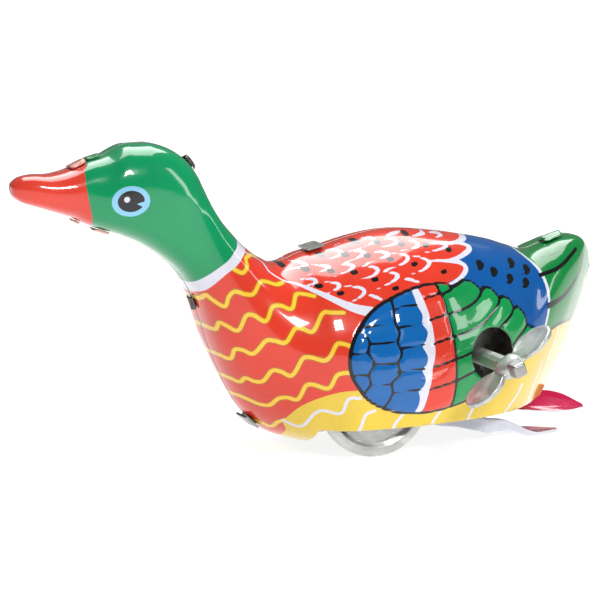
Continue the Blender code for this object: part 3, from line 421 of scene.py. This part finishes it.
# ---------------------------------------------------------------- materials
class Nodes:
    """A node tree being built, with short calls for the nodes used here."""

    def __init__(self, name):
        self.mat = bpy.data.materials.new(name)
        self.mat.use_nodes = True
        self.tree = self.mat.node_tree
        self.shader = self.tree.nodes["Principled BSDF"]
        self.coord = self.tree.nodes.new("ShaderNodeTexCoord")

    def link(self, value, socket):
        if isinstance(value, bpy.types.NodeSocket):
            self.tree.links.new(value, socket)
        elif value is not None:
            socket.default_value = value

    def attribute(self, name):
        node = self.tree.nodes.new("ShaderNodeAttribute")
        node.attribute_name = name
        return node.outputs["Fac"]

    def ramp(self, value, low, high, to_low=0.0, to_high=1.0):
        node = self.tree.nodes.new("ShaderNodeMapRange")
        node.interpolation_type = "SMOOTHSTEP"
        for socket, number in zip(node.inputs[1:5], (low, high, to_low, to_high)):
            self.link(number, socket)
        self.link(value, node.inputs[0])
        return node.outputs[0]

    def maths(self, kind, a, b=0.0):
        node = self.tree.nodes.new("ShaderNodeMath")
        node.operation = kind
        self.link(a, node.inputs[0])
        self.link(b, node.inputs[1])
        return node.outputs[0]

    def mix(self, factor, a, b, kind="MIX"):
        node = self.tree.nodes.new("ShaderNodeMix")
        node.data_type, node.blend_type = "RGBA", kind
        self.link(factor, node.inputs[0])
        self.link(a, node.inputs[6])
        self.link(b, node.inputs[7])
        return node.outputs[2]

    def noise(self, scale, detail=3.0, roughness=0.5, stretch=None):
        vector = self.coord.outputs["Object"]
        if stretch:
            mapping = self.tree.nodes.new("ShaderNodeMapping")
            mapping.inputs["Scale"].default_value = stretch
            self.link(vector, mapping.inputs["Vector"])
            vector = mapping.outputs[0]
        node = self.tree.nodes.new("ShaderNodeTexNoise")
        node.inputs["Scale"].default_value = scale
        node.inputs["Detail"].default_value = detail
        node.inputs["Roughness"].default_value = roughness
        self.link(vector, node.inputs["Vector"])
        return node.outputs["Fac"]

    def cells(self, scale, output="Color"):
        node = self.tree.nodes.new("ShaderNodeTexVoronoi")
        node.inputs["Scale"].default_value = scale
        self.link(self.coord.outputs["Object"], node.inputs["Vector"])
        return node.outputs[output]

    def bump(self, height, distance, strength=1.0):
        node = self.tree.nodes.new("ShaderNodeBump")
        node.inputs["Distance"].default_value = distance
        node.inputs["Strength"].default_value = strength
        self.link(height, node.inputs["Height"])
        self.link(node.outputs[0], self.shader.inputs["Normal"])
        return node.outputs[0]

    def set(self, **sockets):
        for key, value in sockets.items():
            self.link(value, self.shader.inputs[key.replace("_", " ")])
        return self.mat


def colour(code):
    """Linear RGBA from an sRGB hex code."""
    parts = [int(code[k:k + 2], 16) / 255 for k in (0, 2, 4)]
    return tuple(c / 12.92 if c <= 0.04045 else ((c + 0.055) / 1.055) ** 2.4 for c in parts) + (1.0,)


RED, GREEN, BEAK_RED, YELLOW = colour("DE3A26"), colour("00925A"), colour("DC4030"), colour("E6C53A")
BLUE, WING_BLUE, WHITE, BLACK = colour("00549C"), colour("0062AC"), colour("DDDDEA"), colour("0C0F12")
WAVE, WAVE_EDGE, LIGHT_BLUE = colour("FFC83A"), colour("B0721E"), colour("8CC8E8")
TAIL_GREEN, FEATHER = colour("008038"), colour("009048")


def printed_tin():
    n = Nodes("lithographed_tin")

    def ink(value, shift=0.0):
        return n.ramp(value, shift - 0.05, shift + 0.05, 1.0, 0.0)

    names = ("head", "beak", "belly", "rump", "tail", "wave", "white", "wing", "band", "redcell", "feather",
             "lines", "marks", "ring", "pupil", "glint", "rim")
    field = {k: n.attribute(k) for k in names}
    base = n.mix(ink(field["belly"]), RED, YELLOW)
    base = n.mix(ink(field["wave"], 0.28), base, WAVE_EDGE)
    base = n.mix(ink(field["wave"]), base, WAVE)
    base = n.mix(ink(field["belly"]), base, YELLOW)
    for key, tone in (("head", GREEN), ("beak", BEAK_RED), ("rump", BLUE), ("tail", TAIL_GREEN),
                      ("white", WHITE), ("marks", BLACK), ("wing", WING_BLUE), ("feather", FEATHER),
                      ("redcell", RED), ("band", WHITE), ("lines", BLACK), ("ring", LIGHT_BLUE),
                      ("pupil", BLACK), ("glint", WHITE)):
        base = n.mix(ink(field[key]), base, tone)
    cloud = n.ramp(n.noise(45, 4), 0.3, 0.7, 0.93, 1.06)
    grain = n.ramp(n.noise(1400, 2), 0.25, 0.75, 0.97, 1.03)
    shade = n.maths("MULTIPLY", cloud, grain)
    toned = n.mix(1.0, base, shade, "MULTIPLY")
    wear = n.maths("MULTIPLY", n.ramp(field["rim"], 0.1, 0.9, 1.0, 0.0),
                   n.ramp(n.noise(320, 4, 0.65), 0.56, 0.63))
    specks = n.ramp(n.noise(900, 3, 0.6), 0.775, 0.80)
    bare = n.maths("MAXIMUM", wear, specks)
    toned = n.mix(bare, toned, colour("8E8C86"))
    ripple = n.maths("ADD", n.maths("MULTIPLY", n.noise(70, 2), 1.0),
                     n.maths("MULTIPLY", n.noise(600, 2), 0.05))
    n.bump(ripple, 0.0004, 0.25)
    rough = n.ramp(n.noise(160, 3), 0.3, 0.75, 0.16, 0.28)
    mat = n.set(Base_Color=toned, Roughness=n.maths("ADD", rough, n.maths("MULTIPLY", bare, 0.2)),
                Metallic=n.maths("MULTIPLY", bare, 0.8), Specular_IOR_Level=0.2,
                Coat_Weight=1.0, Coat_Roughness=0.03, Coat_IOR=1.45)
    return mat


def inside_tin():
    n = Nodes("bare_tin_inside")
    tone = n.mix(n.ramp(n.noise(60, 4), 0.3, 0.7), colour("6E6A62"), colour("96928A"))
    streaks = n.noise(400, 3, 0.6, (1, 0.2, 0.2))
    n.bump(streaks, 0.0001, 0.3)
    return n.set(Base_Color=tone, Metallic=0.9, Roughness=n.ramp(streaks, 0.3, 0.7, 0.35, 0.55))


def galvanised(name, light, dark, scale=260):
    n = Nodes(name)
    spangle = n.cells(scale, "Color")
    grey = n.tree.nodes.new("ShaderNodeRGBToBW")
    n.link(spangle, grey.inputs[0])
    patch = n.ramp(n.noise(220, 5, 0.6), 0.35, 0.65)
    tone = n.mix(n.maths("MULTIPLY", grey.outputs[0], 0.55), colour(light), colour(dark))
    tone = n.mix(n.maths("MULTIPLY", patch, 0.35), tone, colour(dark))
    height = n.maths("ADD", n.maths("MULTIPLY", grey.outputs[0], 0.2), n.noise(900, 4, 0.6))
    n.bump(height, 0.00006, 0.5)
    rough = n.ramp(n.noise(300, 4), 0.3, 0.7, 0.3, 0.5)
    return n.set(Base_Color=tone, Metallic=0.8, Roughness=rough)


def lacquer(name, tone, worn):
    """Glossy printed sheet: cloudy ink, small chips of bare metal, faint ripple."""
    n = Nodes(name)
    cloud = n.mix(n.ramp(n.noise(90, 4), 0.35, 0.7), colour(tone), colour(worn))
    chips = n.ramp(n.noise(700, 4, 0.6), 0.70, 0.73)
    n.bump(n.noise(120, 3), 0.0003, 0.2)
    rough = n.ramp(n.noise(200, 3), 0.3, 0.7, 0.16, 0.3)
    return n.set(Base_Color=n.mix(chips, cloud, colour("8E8C86")), Metallic=n.maths("MULTIPLY", chips, 0.8),
                 Roughness=rough, Coat_Weight=1.0, Coat_Roughness=0.04)


def metal(name, tone, low, high, stretch=(1, 12, 1)):
    n = Nodes(name)
    streak = n.noise(500, 4, 0.6, stretch)
    stain = n.ramp(n.noise(150, 4), 0.35, 0.75)
    shade = n.mix(n.maths("MULTIPLY", stain, 0.3), colour(tone), colour("3A342C"))
    n.bump(streak, 0.00004, 0.4)
    return n.set(Base_Color=shade, Metallic=1.0, Roughness=n.ramp(streak, 0.3, 0.7, low, high))



# ---------------------------------------------------------------- smaller metal pieces
def seat_row(grid, x, z, top):
    """Index of the grid row whose seam end is nearest to x, z."""
    edge = grid[:, 0 if top else -1][:, [0, 2]]
    return int(np.argmin(np.hypot(*(edge - np.array((x, z))).T)))


def surface(grids, row, along, top):
    """A point on the outside at a fractional row and a distance from the seam, negative on the right."""
    grid = grids[0] if along >= 0 else grids[1]
    low = int(np.clip(math.floor(row), 0, len(grid) - 2))
    part = row - low
    line = grid[low] * (1 - part) + grid[low + 1] * part
    line = line if top else line[::-1]
    steps = np.concatenate([[0], np.cumsum(np.linalg.norm(np.diff(line[:20], axis=0), axis=1))])
    return np.array([np.interp(abs(along), steps, line[:20, axis]) for axis in range(3)])


def bent_tab(name, grids, spot, width, reach, lift, top, materials, root=1.6):
    """A tab of the right shell folded over the left one: it follows the surface at a small distance."""
    row = seat_row(grids[0], *spot, top)
    gap = np.linalg.norm(grids[0][row + 1, 0 if top else -1] - grids[0][row - 1, 0 if top else -1]) / 2
    across, length = np.linspace(-1, 1, 13), 15
    rings = []
    centre = surface(grids, row, 0, top)
    inward = grids[0][row, 40 if top else -41] * (1, 0, 1) - centre * (1, 0, 1)
    outward = -inward / np.linalg.norm(inward)
    for u in across:
        tip = reach - 1.1 * (1 - math.sqrt(max(0.0, 1 - (0.97 * u) ** 4)))
        line = []
        for k in range(length):
            v = k / (length - 1)
            s = -root + (tip + root) * v
            r = row + u * width / 2 / gap
            p = surface(grids, r, s, top)
            q = surface(grids, r, s + 0.4, top) - surface(grids, r, s - 0.4, top)
            w = surface(grids, r + 1, s, top) - surface(grids, r - 1, s, top)
            normal = np.cross(q, w)
            normal /= max(np.linalg.norm(normal), 1e-9)
            if normal @ (outward + np.array((0, -0.3 * np.sign(s), 0))) < 0:
                normal = -normal
            line.append((p, normal, lift * (0.25 + 0.75 * math.sin(math.pi * min(v * 1.15, 1) ** 1.2) ** 2)))
        rings.append(line)
    bm = bmesh.new()
    grid = [[bm.verts.new(place(p + n * (0.18 + h))) for p, n, h in line] for line in rings]
    for a, b in zip(grid, grid[1:]):
        for k in range(length - 1):
            bm.faces.new((a[k], b[k], b[k + 1], a[k + 1]))
    bmesh.ops.recalc_face_normals(bm, faces=bm.faces)
    middle = bm.faces[:][len(bm.faces) // 2]
    if middle.normal.dot(Vector(outward)) < 0:
        bmesh.ops.reverse_faces(bm, faces=bm.faces)
    obj = new_piece(name, bm, materials)
    solid = obj.modifiers.new("sheet", "SOLIDIFY")
    solid.thickness, solid.offset = 0.32 * MM, 1
    bevel = obj.modifiers.new("edge", "BEVEL")
    bevel.width, bevel.segments, bevel.limit_method = 0.08 * MM, 2, "ANGLE"
    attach(obj, "body")
    return obj


def lathe(name, profile, centre, materials, body, sides=96, closed=True):
    """A turned piece about a Y axis through centre (x, z). The profile is radius and y pairs."""
    bm = bmesh.new()
    rings = []
    for k in range(sides):
        angle = 2 * math.pi * k / sides
        rings.append([bm.verts.new(place((centre[0] + r * math.cos(angle), y,
                                          centre[1] + r * math.sin(angle))))
                      for r, y in profile])
    for a, b in zip(rings, rings[1:] + rings[:1]):
        for k in range(len(profile) if closed else len(profile) - 1):
            m = (k + 1) % len(profile)
            bm.faces.new((a[k], b[k], b[m], a[m]))
    bmesh.ops.recalc_face_normals(bm, faces=bm.faces)
    obj = new_piece(name, bm, materials)
    obj.data.set_sharp_from_angle(angle=math.radians(35))
    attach(obj, body)
    return obj


AXLE, WHEEL_Y, WHEEL_HALF = (13.0, 15.0), 16.6, 1.6


def wheels():
    """Pressed discs with a rolled tread, a shallow dish and a turned hub."""
    h = WHEEL_HALF
    face = [(1.5, h - 0.1), (3.6, h - 0.05), (4.1, h - 0.2), (4.8, h - 0.8), (5.6, h - 0.95),
    (11.0, h - 0.95),
            (11.9, h - 0.75), (12.5, h - 0.12), (12.9, h), (14.3, h), (14.75, h - 0.1), (14.95, h - 0.4),
            (15.0, h - 0.8)]
    profile = face + [(r, -y) for r, y in face[::-1]]
    for name, side in (("left", -1), ("right", 1)):
        wheel = lathe(name + "_disc_wheel", [(r, side * WHEEL_Y + y) for r, y in profile], AXLE,
                      (GALVANISED,), "wheels", 128)
        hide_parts(name + "_wheel")


WINDER, KEY_TILT, KEY_WING_Y = (39.6, 24.6), math.radians(40), -38.2
KEY_BORE, KEY_STEM, KEY_STEM_Y = 1.65, 2.15, (-40.3, -21.5)


def key_wing(bm, side):
    """One ear of the key: an oval with a rounded rim and a slightly hollow face."""
    outline = [(1.7, -2.7), (2.7, -2.9)] + [(8.5 + 5.9 * math.cos(a), 5.3 * math.sin(a))
                                            for a in np.linspace(math.radians(-148), math.radians(148), 56)]
    outline += [(2.7, 2.9), (1.7, 2.7)]
    middle = np.array((7.0, 0.0))
    layers = ((1.0, 0.30), (0.985, 0.52), (0.95, 0.65), (0.88, 0.64), (0.80, 0.50), (0.6, 0.42), (0.3, 0.40))
    rings = []
    for sign in (1, -1):
        for scale, level in layers if sign > 0 else layers:
            shrunk = [middle + (np.array(p) - middle) * scale for p in outline]
            rings.append((sign, [bm.verts.new(key_point(side, p, sign * level)) for p in shrunk]))
    count = len(outline)
    tops, lows = [r for s, r in rings if s > 0], [r for s, r in rings if s < 0]

    def join(a, b):
        for k in range(count):
            m = (k + 1) % count
            bm.faces.new((a[k], a[m], b[m], b[k]))

    join(lows[0], tops[0])
    for stack in (tops, lows):
        for a, b in zip(stack, stack[1:]):
            join(a, b)
        bm.faces.new(stack[-1])


def key_point(side, spot, level):
    across, along = side * spot[0], spot[1]
    x = across * math.cos(KEY_TILT) - level * math.sin(KEY_TILT)
    z = across * math.sin(KEY_TILT) + level * math.cos(KEY_TILT)
    return place((WINDER[0] + x, KEY_WING_Y + along, WINDER[1] + z))


def winding_key():
    y0, y1 = KEY_STEM_Y
    profile = [(KEY_BORE, y0 + 0.15), (KEY_BORE + 0.1, y0), (KEY_STEM - 0.15, y0), (KEY_STEM, y0 + 0.15),
               (KEY_STEM, y1 - 0.15), (KEY_STEM - 0.15, y1), (KEY_BORE, y1)]
    stem = lathe("key_stem", profile, WINDER, (ZINC,), "winder", 64)
    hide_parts("winding_key")
    for label, side in (("upper", 1), ("lower", -1)):
        bm = bmesh.new()
        key_wing(bm, side)
        bmesh.ops.recalc_face_normals(bm, faces=bm.faces)
        wing = new_piece("key_ear_" + label, bm, (ZINC,))
        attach(wing, "winder")


def rounded_block(name, half, centre, power, turn, materials, body, steps=28):
    """A closed rounded block: half sizes across, along Y and through, turned about the Y axis."""
    bm = bmesh.new()
    rings = []
    for i in range(1, steps):
        v = math.pi * (i / steps - 0.5)
        ring = []
        for k in range(2 * steps):
            u = math.pi * k / steps
            cu, su, cv, sv = math.cos(u), math.sin(u), math.cos(v), math.sin(v)
            local = [math.copysign(abs(c) ** (2 / power), c) for c in (cu * cv, sv, su * cv)]
            norm = sum(abs(c) ** power for c in (cu * cv, sv, su * cv)) ** (-1 / power)
            local = [c * norm for c in (cu * cv, sv, su * cv)]
            a, b, c = (h * p for h, p in zip(half, local))
            ring.append(bm.verts.new(place((centre[0] + a * math.cos(turn) - c * math.sin(turn),
                                            centre[1] + b,
                                            centre[2] + a * math.sin(turn) + c * math.cos(turn)))))
        rings.append(ring)
    for a, b in zip(rings, rings[1:]):
        for k in range(len(a)):
            m = (k + 1) % len(a)
            bm.faces.new((a[k], a[m], b[m], b[k]))
    bm.faces.new(rings[0])
    bm.faces.new(rings[-1])
    bmesh.ops.recalc_face_normals(bm, faces=bm.faces)
    obj = new_piece(name, bm, materials)
    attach(obj, body)
    return obj


def key_middle():
    """The saddle between the ears and the squared end of the arbor that stands out of it."""
    spot = (WINDER[0], -38.6, WINDER[1])
    hub = rounded_block("key_saddle", (3.3, 3.1, 2.3), spot, 3.0, KEY_TILT, (ZINC,), "winder")
    pin = rounded_block("key_square", (1.75, 2.2, 1.75), (WINDER[0], -42.68, WINDER[1]), 6.0,
                        KEY_TILT - math.radians(20), (STEEL,), "winder")
    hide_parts("key_pin")


ROD_Y, ROD_T = 12.6, 1.0
CRANK_R, CRANK_REST = 10.0, math.radians(2)
FOOT_LOW = 0.05


def foot_rows(cant):
    return ((16.2, 15.4, 1.9, 0), (18.0, 15.4, 2.3, 0), (20.4, 15.2, 2.1, 0),
            (24.0, 13.8, 1.9, 0), (27.5, 10.4, 1.6, 0), (31.5, 6.9, 1.2, 0), (38.0, 5.6, 1.1, 0),
            (43.0, 5.0, 1.8, 2), (45.0, 4.6, 1.9, 4), (48.0, 2.2, 2.2, 22), (51.0, 1.7, 2.7, 46 - cant * 0.3),
            (54.0, 1.2, 3.3, 66 - cant * 0.6), (57.0, 0.7, 3.9, 82 - cant * 0.9), (60.0, 0.5, 4.1, 90 - cant),
            (63.5, 0.5, 3.2, 90 - cant), (66.3, 0.7, 1.7, 90 - cant), (68.2, 0.8, 0.6, 90 - cant))


def foot(name, side, cant, ahead, drop, body, top):
    """A foot and its rod: one strip of sheet, white underneath and the top material on top, from upright to
    flat; on the near foot that top is a pale pink painted reflection over the magenta.
    """
    rows = np.array([(x, z + ((half - 0.6) * math.cos(math.radians(turn)) if x > 45 else 0), half, turn)
                     for x, z, half, turn in foot_rows(cant)])
    rows = smooth_line(rows, 8)
    across = np.linspace(-1, 1, 17)
    bm = bmesh.new()
    rings = []
    for x, z, half, turn in rows:
        lean = math.radians(turn)
        width = np.array((0, side * math.sin(lean), math.cos(lean))) * half
        face = np.array((0, -side * math.cos(lean), math.sin(lean)))
        middle = np.array((x + ahead, side * (ROD_Y - 1.6 * math.sin(lean)), z + drop))
        ring = []
        for level in (-ROD_T / 2, ROD_T / 2):
            for s in across if level < 0 else across[::-1]:
                thin = level * (1 - 0.55 * abs(s) ** 6)
                dish = 0.45 * math.sin(lean) * half * max(abs(s) - 0.5, 0)
                spot = middle + width * s + face * (thin + dish)
                ring.append(bm.verts.new(place((spot[0], spot[1], max(spot[2], FOOT_LOW)))))
        rings.append(ring)
    count = len(rings[0])
    for a, b in zip(rings, rings[1:]):
        for k in range(count):
            m = (k + 1) % count
            f = bm.faces.new((a[k], b[k], b[m], a[m]))
            f.material_index = 1 if k < len(across) - 1 or k == count - 1 or k == len(across) - 1 else 0
    bm.faces.new(rings[0])
    bm.faces.new(rings[-1])
    bmesh.ops.recalc_face_normals(bm, faces=bm.faces)
    obj = new_piece(name + "_sheet", bm, (top, FOOT_UNDER))
    obj.data.set_sharp_from_angle(angle=math.radians(50))
    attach(obj, body)
    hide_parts(name)


# ---------------------------------------------------------------- build
TIN, INSIDE = printed_tin(), inside_tin()
for shell, side in (("left_body_shell", -1), ("right_body_shell", 1)):
    obj = half_shell(shell.replace("body_shell", "printed_shell"), side, (TIN, INSIDE))
    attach(obj, "body")
    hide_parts(shell)

ZINC = galvanised("zinc", "D8DAD6", "9A9E9C", 420)
GALVANISED = galvanised("galvanised", "DCDDD9", "A6A8A6")
STEEL = metal("steel", "A8A8A6", 0.25, 0.45)
BRASS = metal("brass", "C9A24A", 0.22, 0.4)
SPRING = metal("spring_steel", "4A5060", 0.25, 0.4)
LACQUER = lacquer("foot_lacquer", "C40048", "A0003A")
# Pale pink lit copy of the magenta foot lacquer: a painted reflection that stands for the bright sheen on the
# near foot's glossy top.
FOOT_SHEEN_PINK = lacquer("foot_painted_sheen", "E096AC", "CC7C94")
FOOT_UNDER = lacquer("foot_white", "D8D8E4", "BCBECC")
SLOTS = {"zinc": ZINC, "galvanised": GALVANISED, "steel": STEEL, "brass": BRASS, "spring_steel": SPRING,
         "foot_lacquer": LACQUER, "lithographed_tin": TIN}
for part in frame["record"]["subparts"]:
    node = frame["nodes"][part["node"]]
    for slot in node.material_slots:
        slot.material = SLOTS[part["material_slot"]]


grids = (shell_grid(-1), shell_grid(1))
SALMON = galvanised("tab_edge", "D9A79A", "B06A60", 700)
DARK_TAB = galvanised("tab_dark", "6A6864", "35342F", 700)
GREEN_TAB = lacquer("tab_green", "008A40", "00642E")
for name, spot, width, reach, lift, top, mats in (
        ("beak_tab", (-60.6, 76.3), 4.2, 2.3, 0.25, True, (SALMON,)),
        ("crown_tab", (-56.2, 78.0), 3.6, 1.6, 0.2, True, (GREEN_TAB,)),
        ("nape_tab", (-31.2, 74.6), 3.4, 1.9, 1.1, True, (DARK_TAB,)),
        ("neck_tab", (-29.1, 40.2), 3.4, 1.4, 0.6, False, (DARK_TAB,)),
        ("throat_tab", (-54.6, 60.2), 3.6, 3.2, 0.3, False, (SALMON,)),
        ("chin_tab", (-60.6, 63.0), 1.7, 1.6, 0.2, False, (SALMON,)),
        ("tail_tab", (71.6, 49.3), 5.2, 3.2, 0.9, True, (GREEN_TAB,))):
    bent_tab(name, grids, spot, width, reach, lift, top, mats)
wheels()
winding_key()
key_middle()
# The near foot's top gets the pale pink painted reflection. The far foot gets the plain magenta lacquer.
foot("left_foot", -1, 0, 0.0, 0.0, "left_foot_slider", FOOT_SHEEN_PINK)
foot("right_foot", 1, 30, 2 * CRANK_R * math.cos(CRANK_REST), 0.4, "right_foot_slider", LACQUER)


# ---------------------------------------------------------------- studio
FLOOR_RADIUS, FLOOR_SIDES, FLOOR_GLOW = 3.0, 64, 0.88
WORLD_LIGHT, BACKDROP_LIGHT = 0.16, 1.05
LIGHTS = (  # name, place, aim, width, watts, height or None for a square
    ("overhead", (0.2, 0.35, 0.85), (0.02, 0, 0.03), 0.7, 9.0, None),
    ("front_window", (0.0, -0.85, 0.6), (-0.02, 0, 0.05), 0.22, 5.5, 0.2),
    ("side_strip", (0.7, -0.6, 0.35), (0.02, 0, 0.04), 0.12, 1.5, 0.6))
CAMERA_AZIMUTH, CAMERA_ELEVATION, CAMERA_DISTANCE = math.radians(-25), math.radians(10), 1.0
CAMERA_TARGET = (-0.005094, 0.008975, 0.03825)
SENSOR_WIDTH, FOCAL_LENGTH, CLIP_END = 36.0, 237.0, 20


def studio():
    """A large round pale floor."""
    bm = bmesh.new()
    angles = [2 * math.pi * k / FLOOR_SIDES for k in range(FLOOR_SIDES)]
    bm.faces.new([bm.verts.new((FLOOR_RADIUS * math.cos(a), FLOOR_RADIUS * math.sin(a), 0)) for a in angles])
    n = Nodes("pale_floor")
    tone = n.mix(n.ramp(n.noise(2, 2), 0.3, 0.7), colour("9C9C9C"), colour("A0A0A0"))
    n.set(Base_Color=tone, Roughness=0.7, Specular_IOR_Level=0.1,
          Emission_Color=(1, 1, 1, 1), Emission_Strength=FLOOR_GLOW)
    new_piece("pale_floor", bm, (n.mat,))


def area(name, where, to, size, power, shape_y):
    light = bpy.data.lights.new(name, "AREA")
    light.energy, light.size = power, size
    if shape_y:
        light.shape, light.size_y = "RECTANGLE", shape_y
    obj = bpy.data.objects.new(name, light)
    bpy.context.scene.collection.objects.link(obj)
    obj.location = where
    obj.rotation_euler = (Vector(to) - Vector(where)).to_track_quat("-Z", "Y").to_euler()


def lights_and_camera():
    scene = bpy.context.scene
    world = bpy.data.worlds.new("studio")
    scene.world = world
    world.use_nodes = True
    tree = world.node_tree
    back = tree.nodes["Background"]
    path, level = tree.nodes.new("ShaderNodeLightPath"), tree.nodes.new("ShaderNodeMapRange")
    level.inputs["To Min"].default_value, level.inputs["To Max"].default_value = WORLD_LIGHT, BACKDROP_LIGHT
    tree.links.new(path.outputs["Is Camera Ray"], level.inputs[0])
    tree.links.new(level.outputs[0], back.inputs["Strength"])
    back.inputs["Color"].default_value = (1, 1, 1, 1)
    for light in LIGHTS:
        area(*light)
    azimuth, elevation = CAMERA_AZIMUTH, CAMERA_ELEVATION
    away = Vector((math.sin(azimuth) * math.cos(elevation), -math.cos(azimuth) * math.cos(elevation),
                   math.sin(elevation)))
    camera = bpy.data.cameras.new("camera")
    camera.sensor_width, camera.lens = SENSOR_WIDTH, FOCAL_LENGTH
    camera.clip_end = CLIP_END
    obj = bpy.data.objects.new("camera", camera)
    scene.collection.objects.link(obj)
    obj.location = Vector(CAMERA_TARGET) + away * CAMERA_DISTANCE
    obj.rotation_euler = (-away).to_track_quat("-Z", "Y").to_euler()
    scene.camera = obj
    scene.view_settings.view_transform = "Standard"


studio()
lights_and_camera()
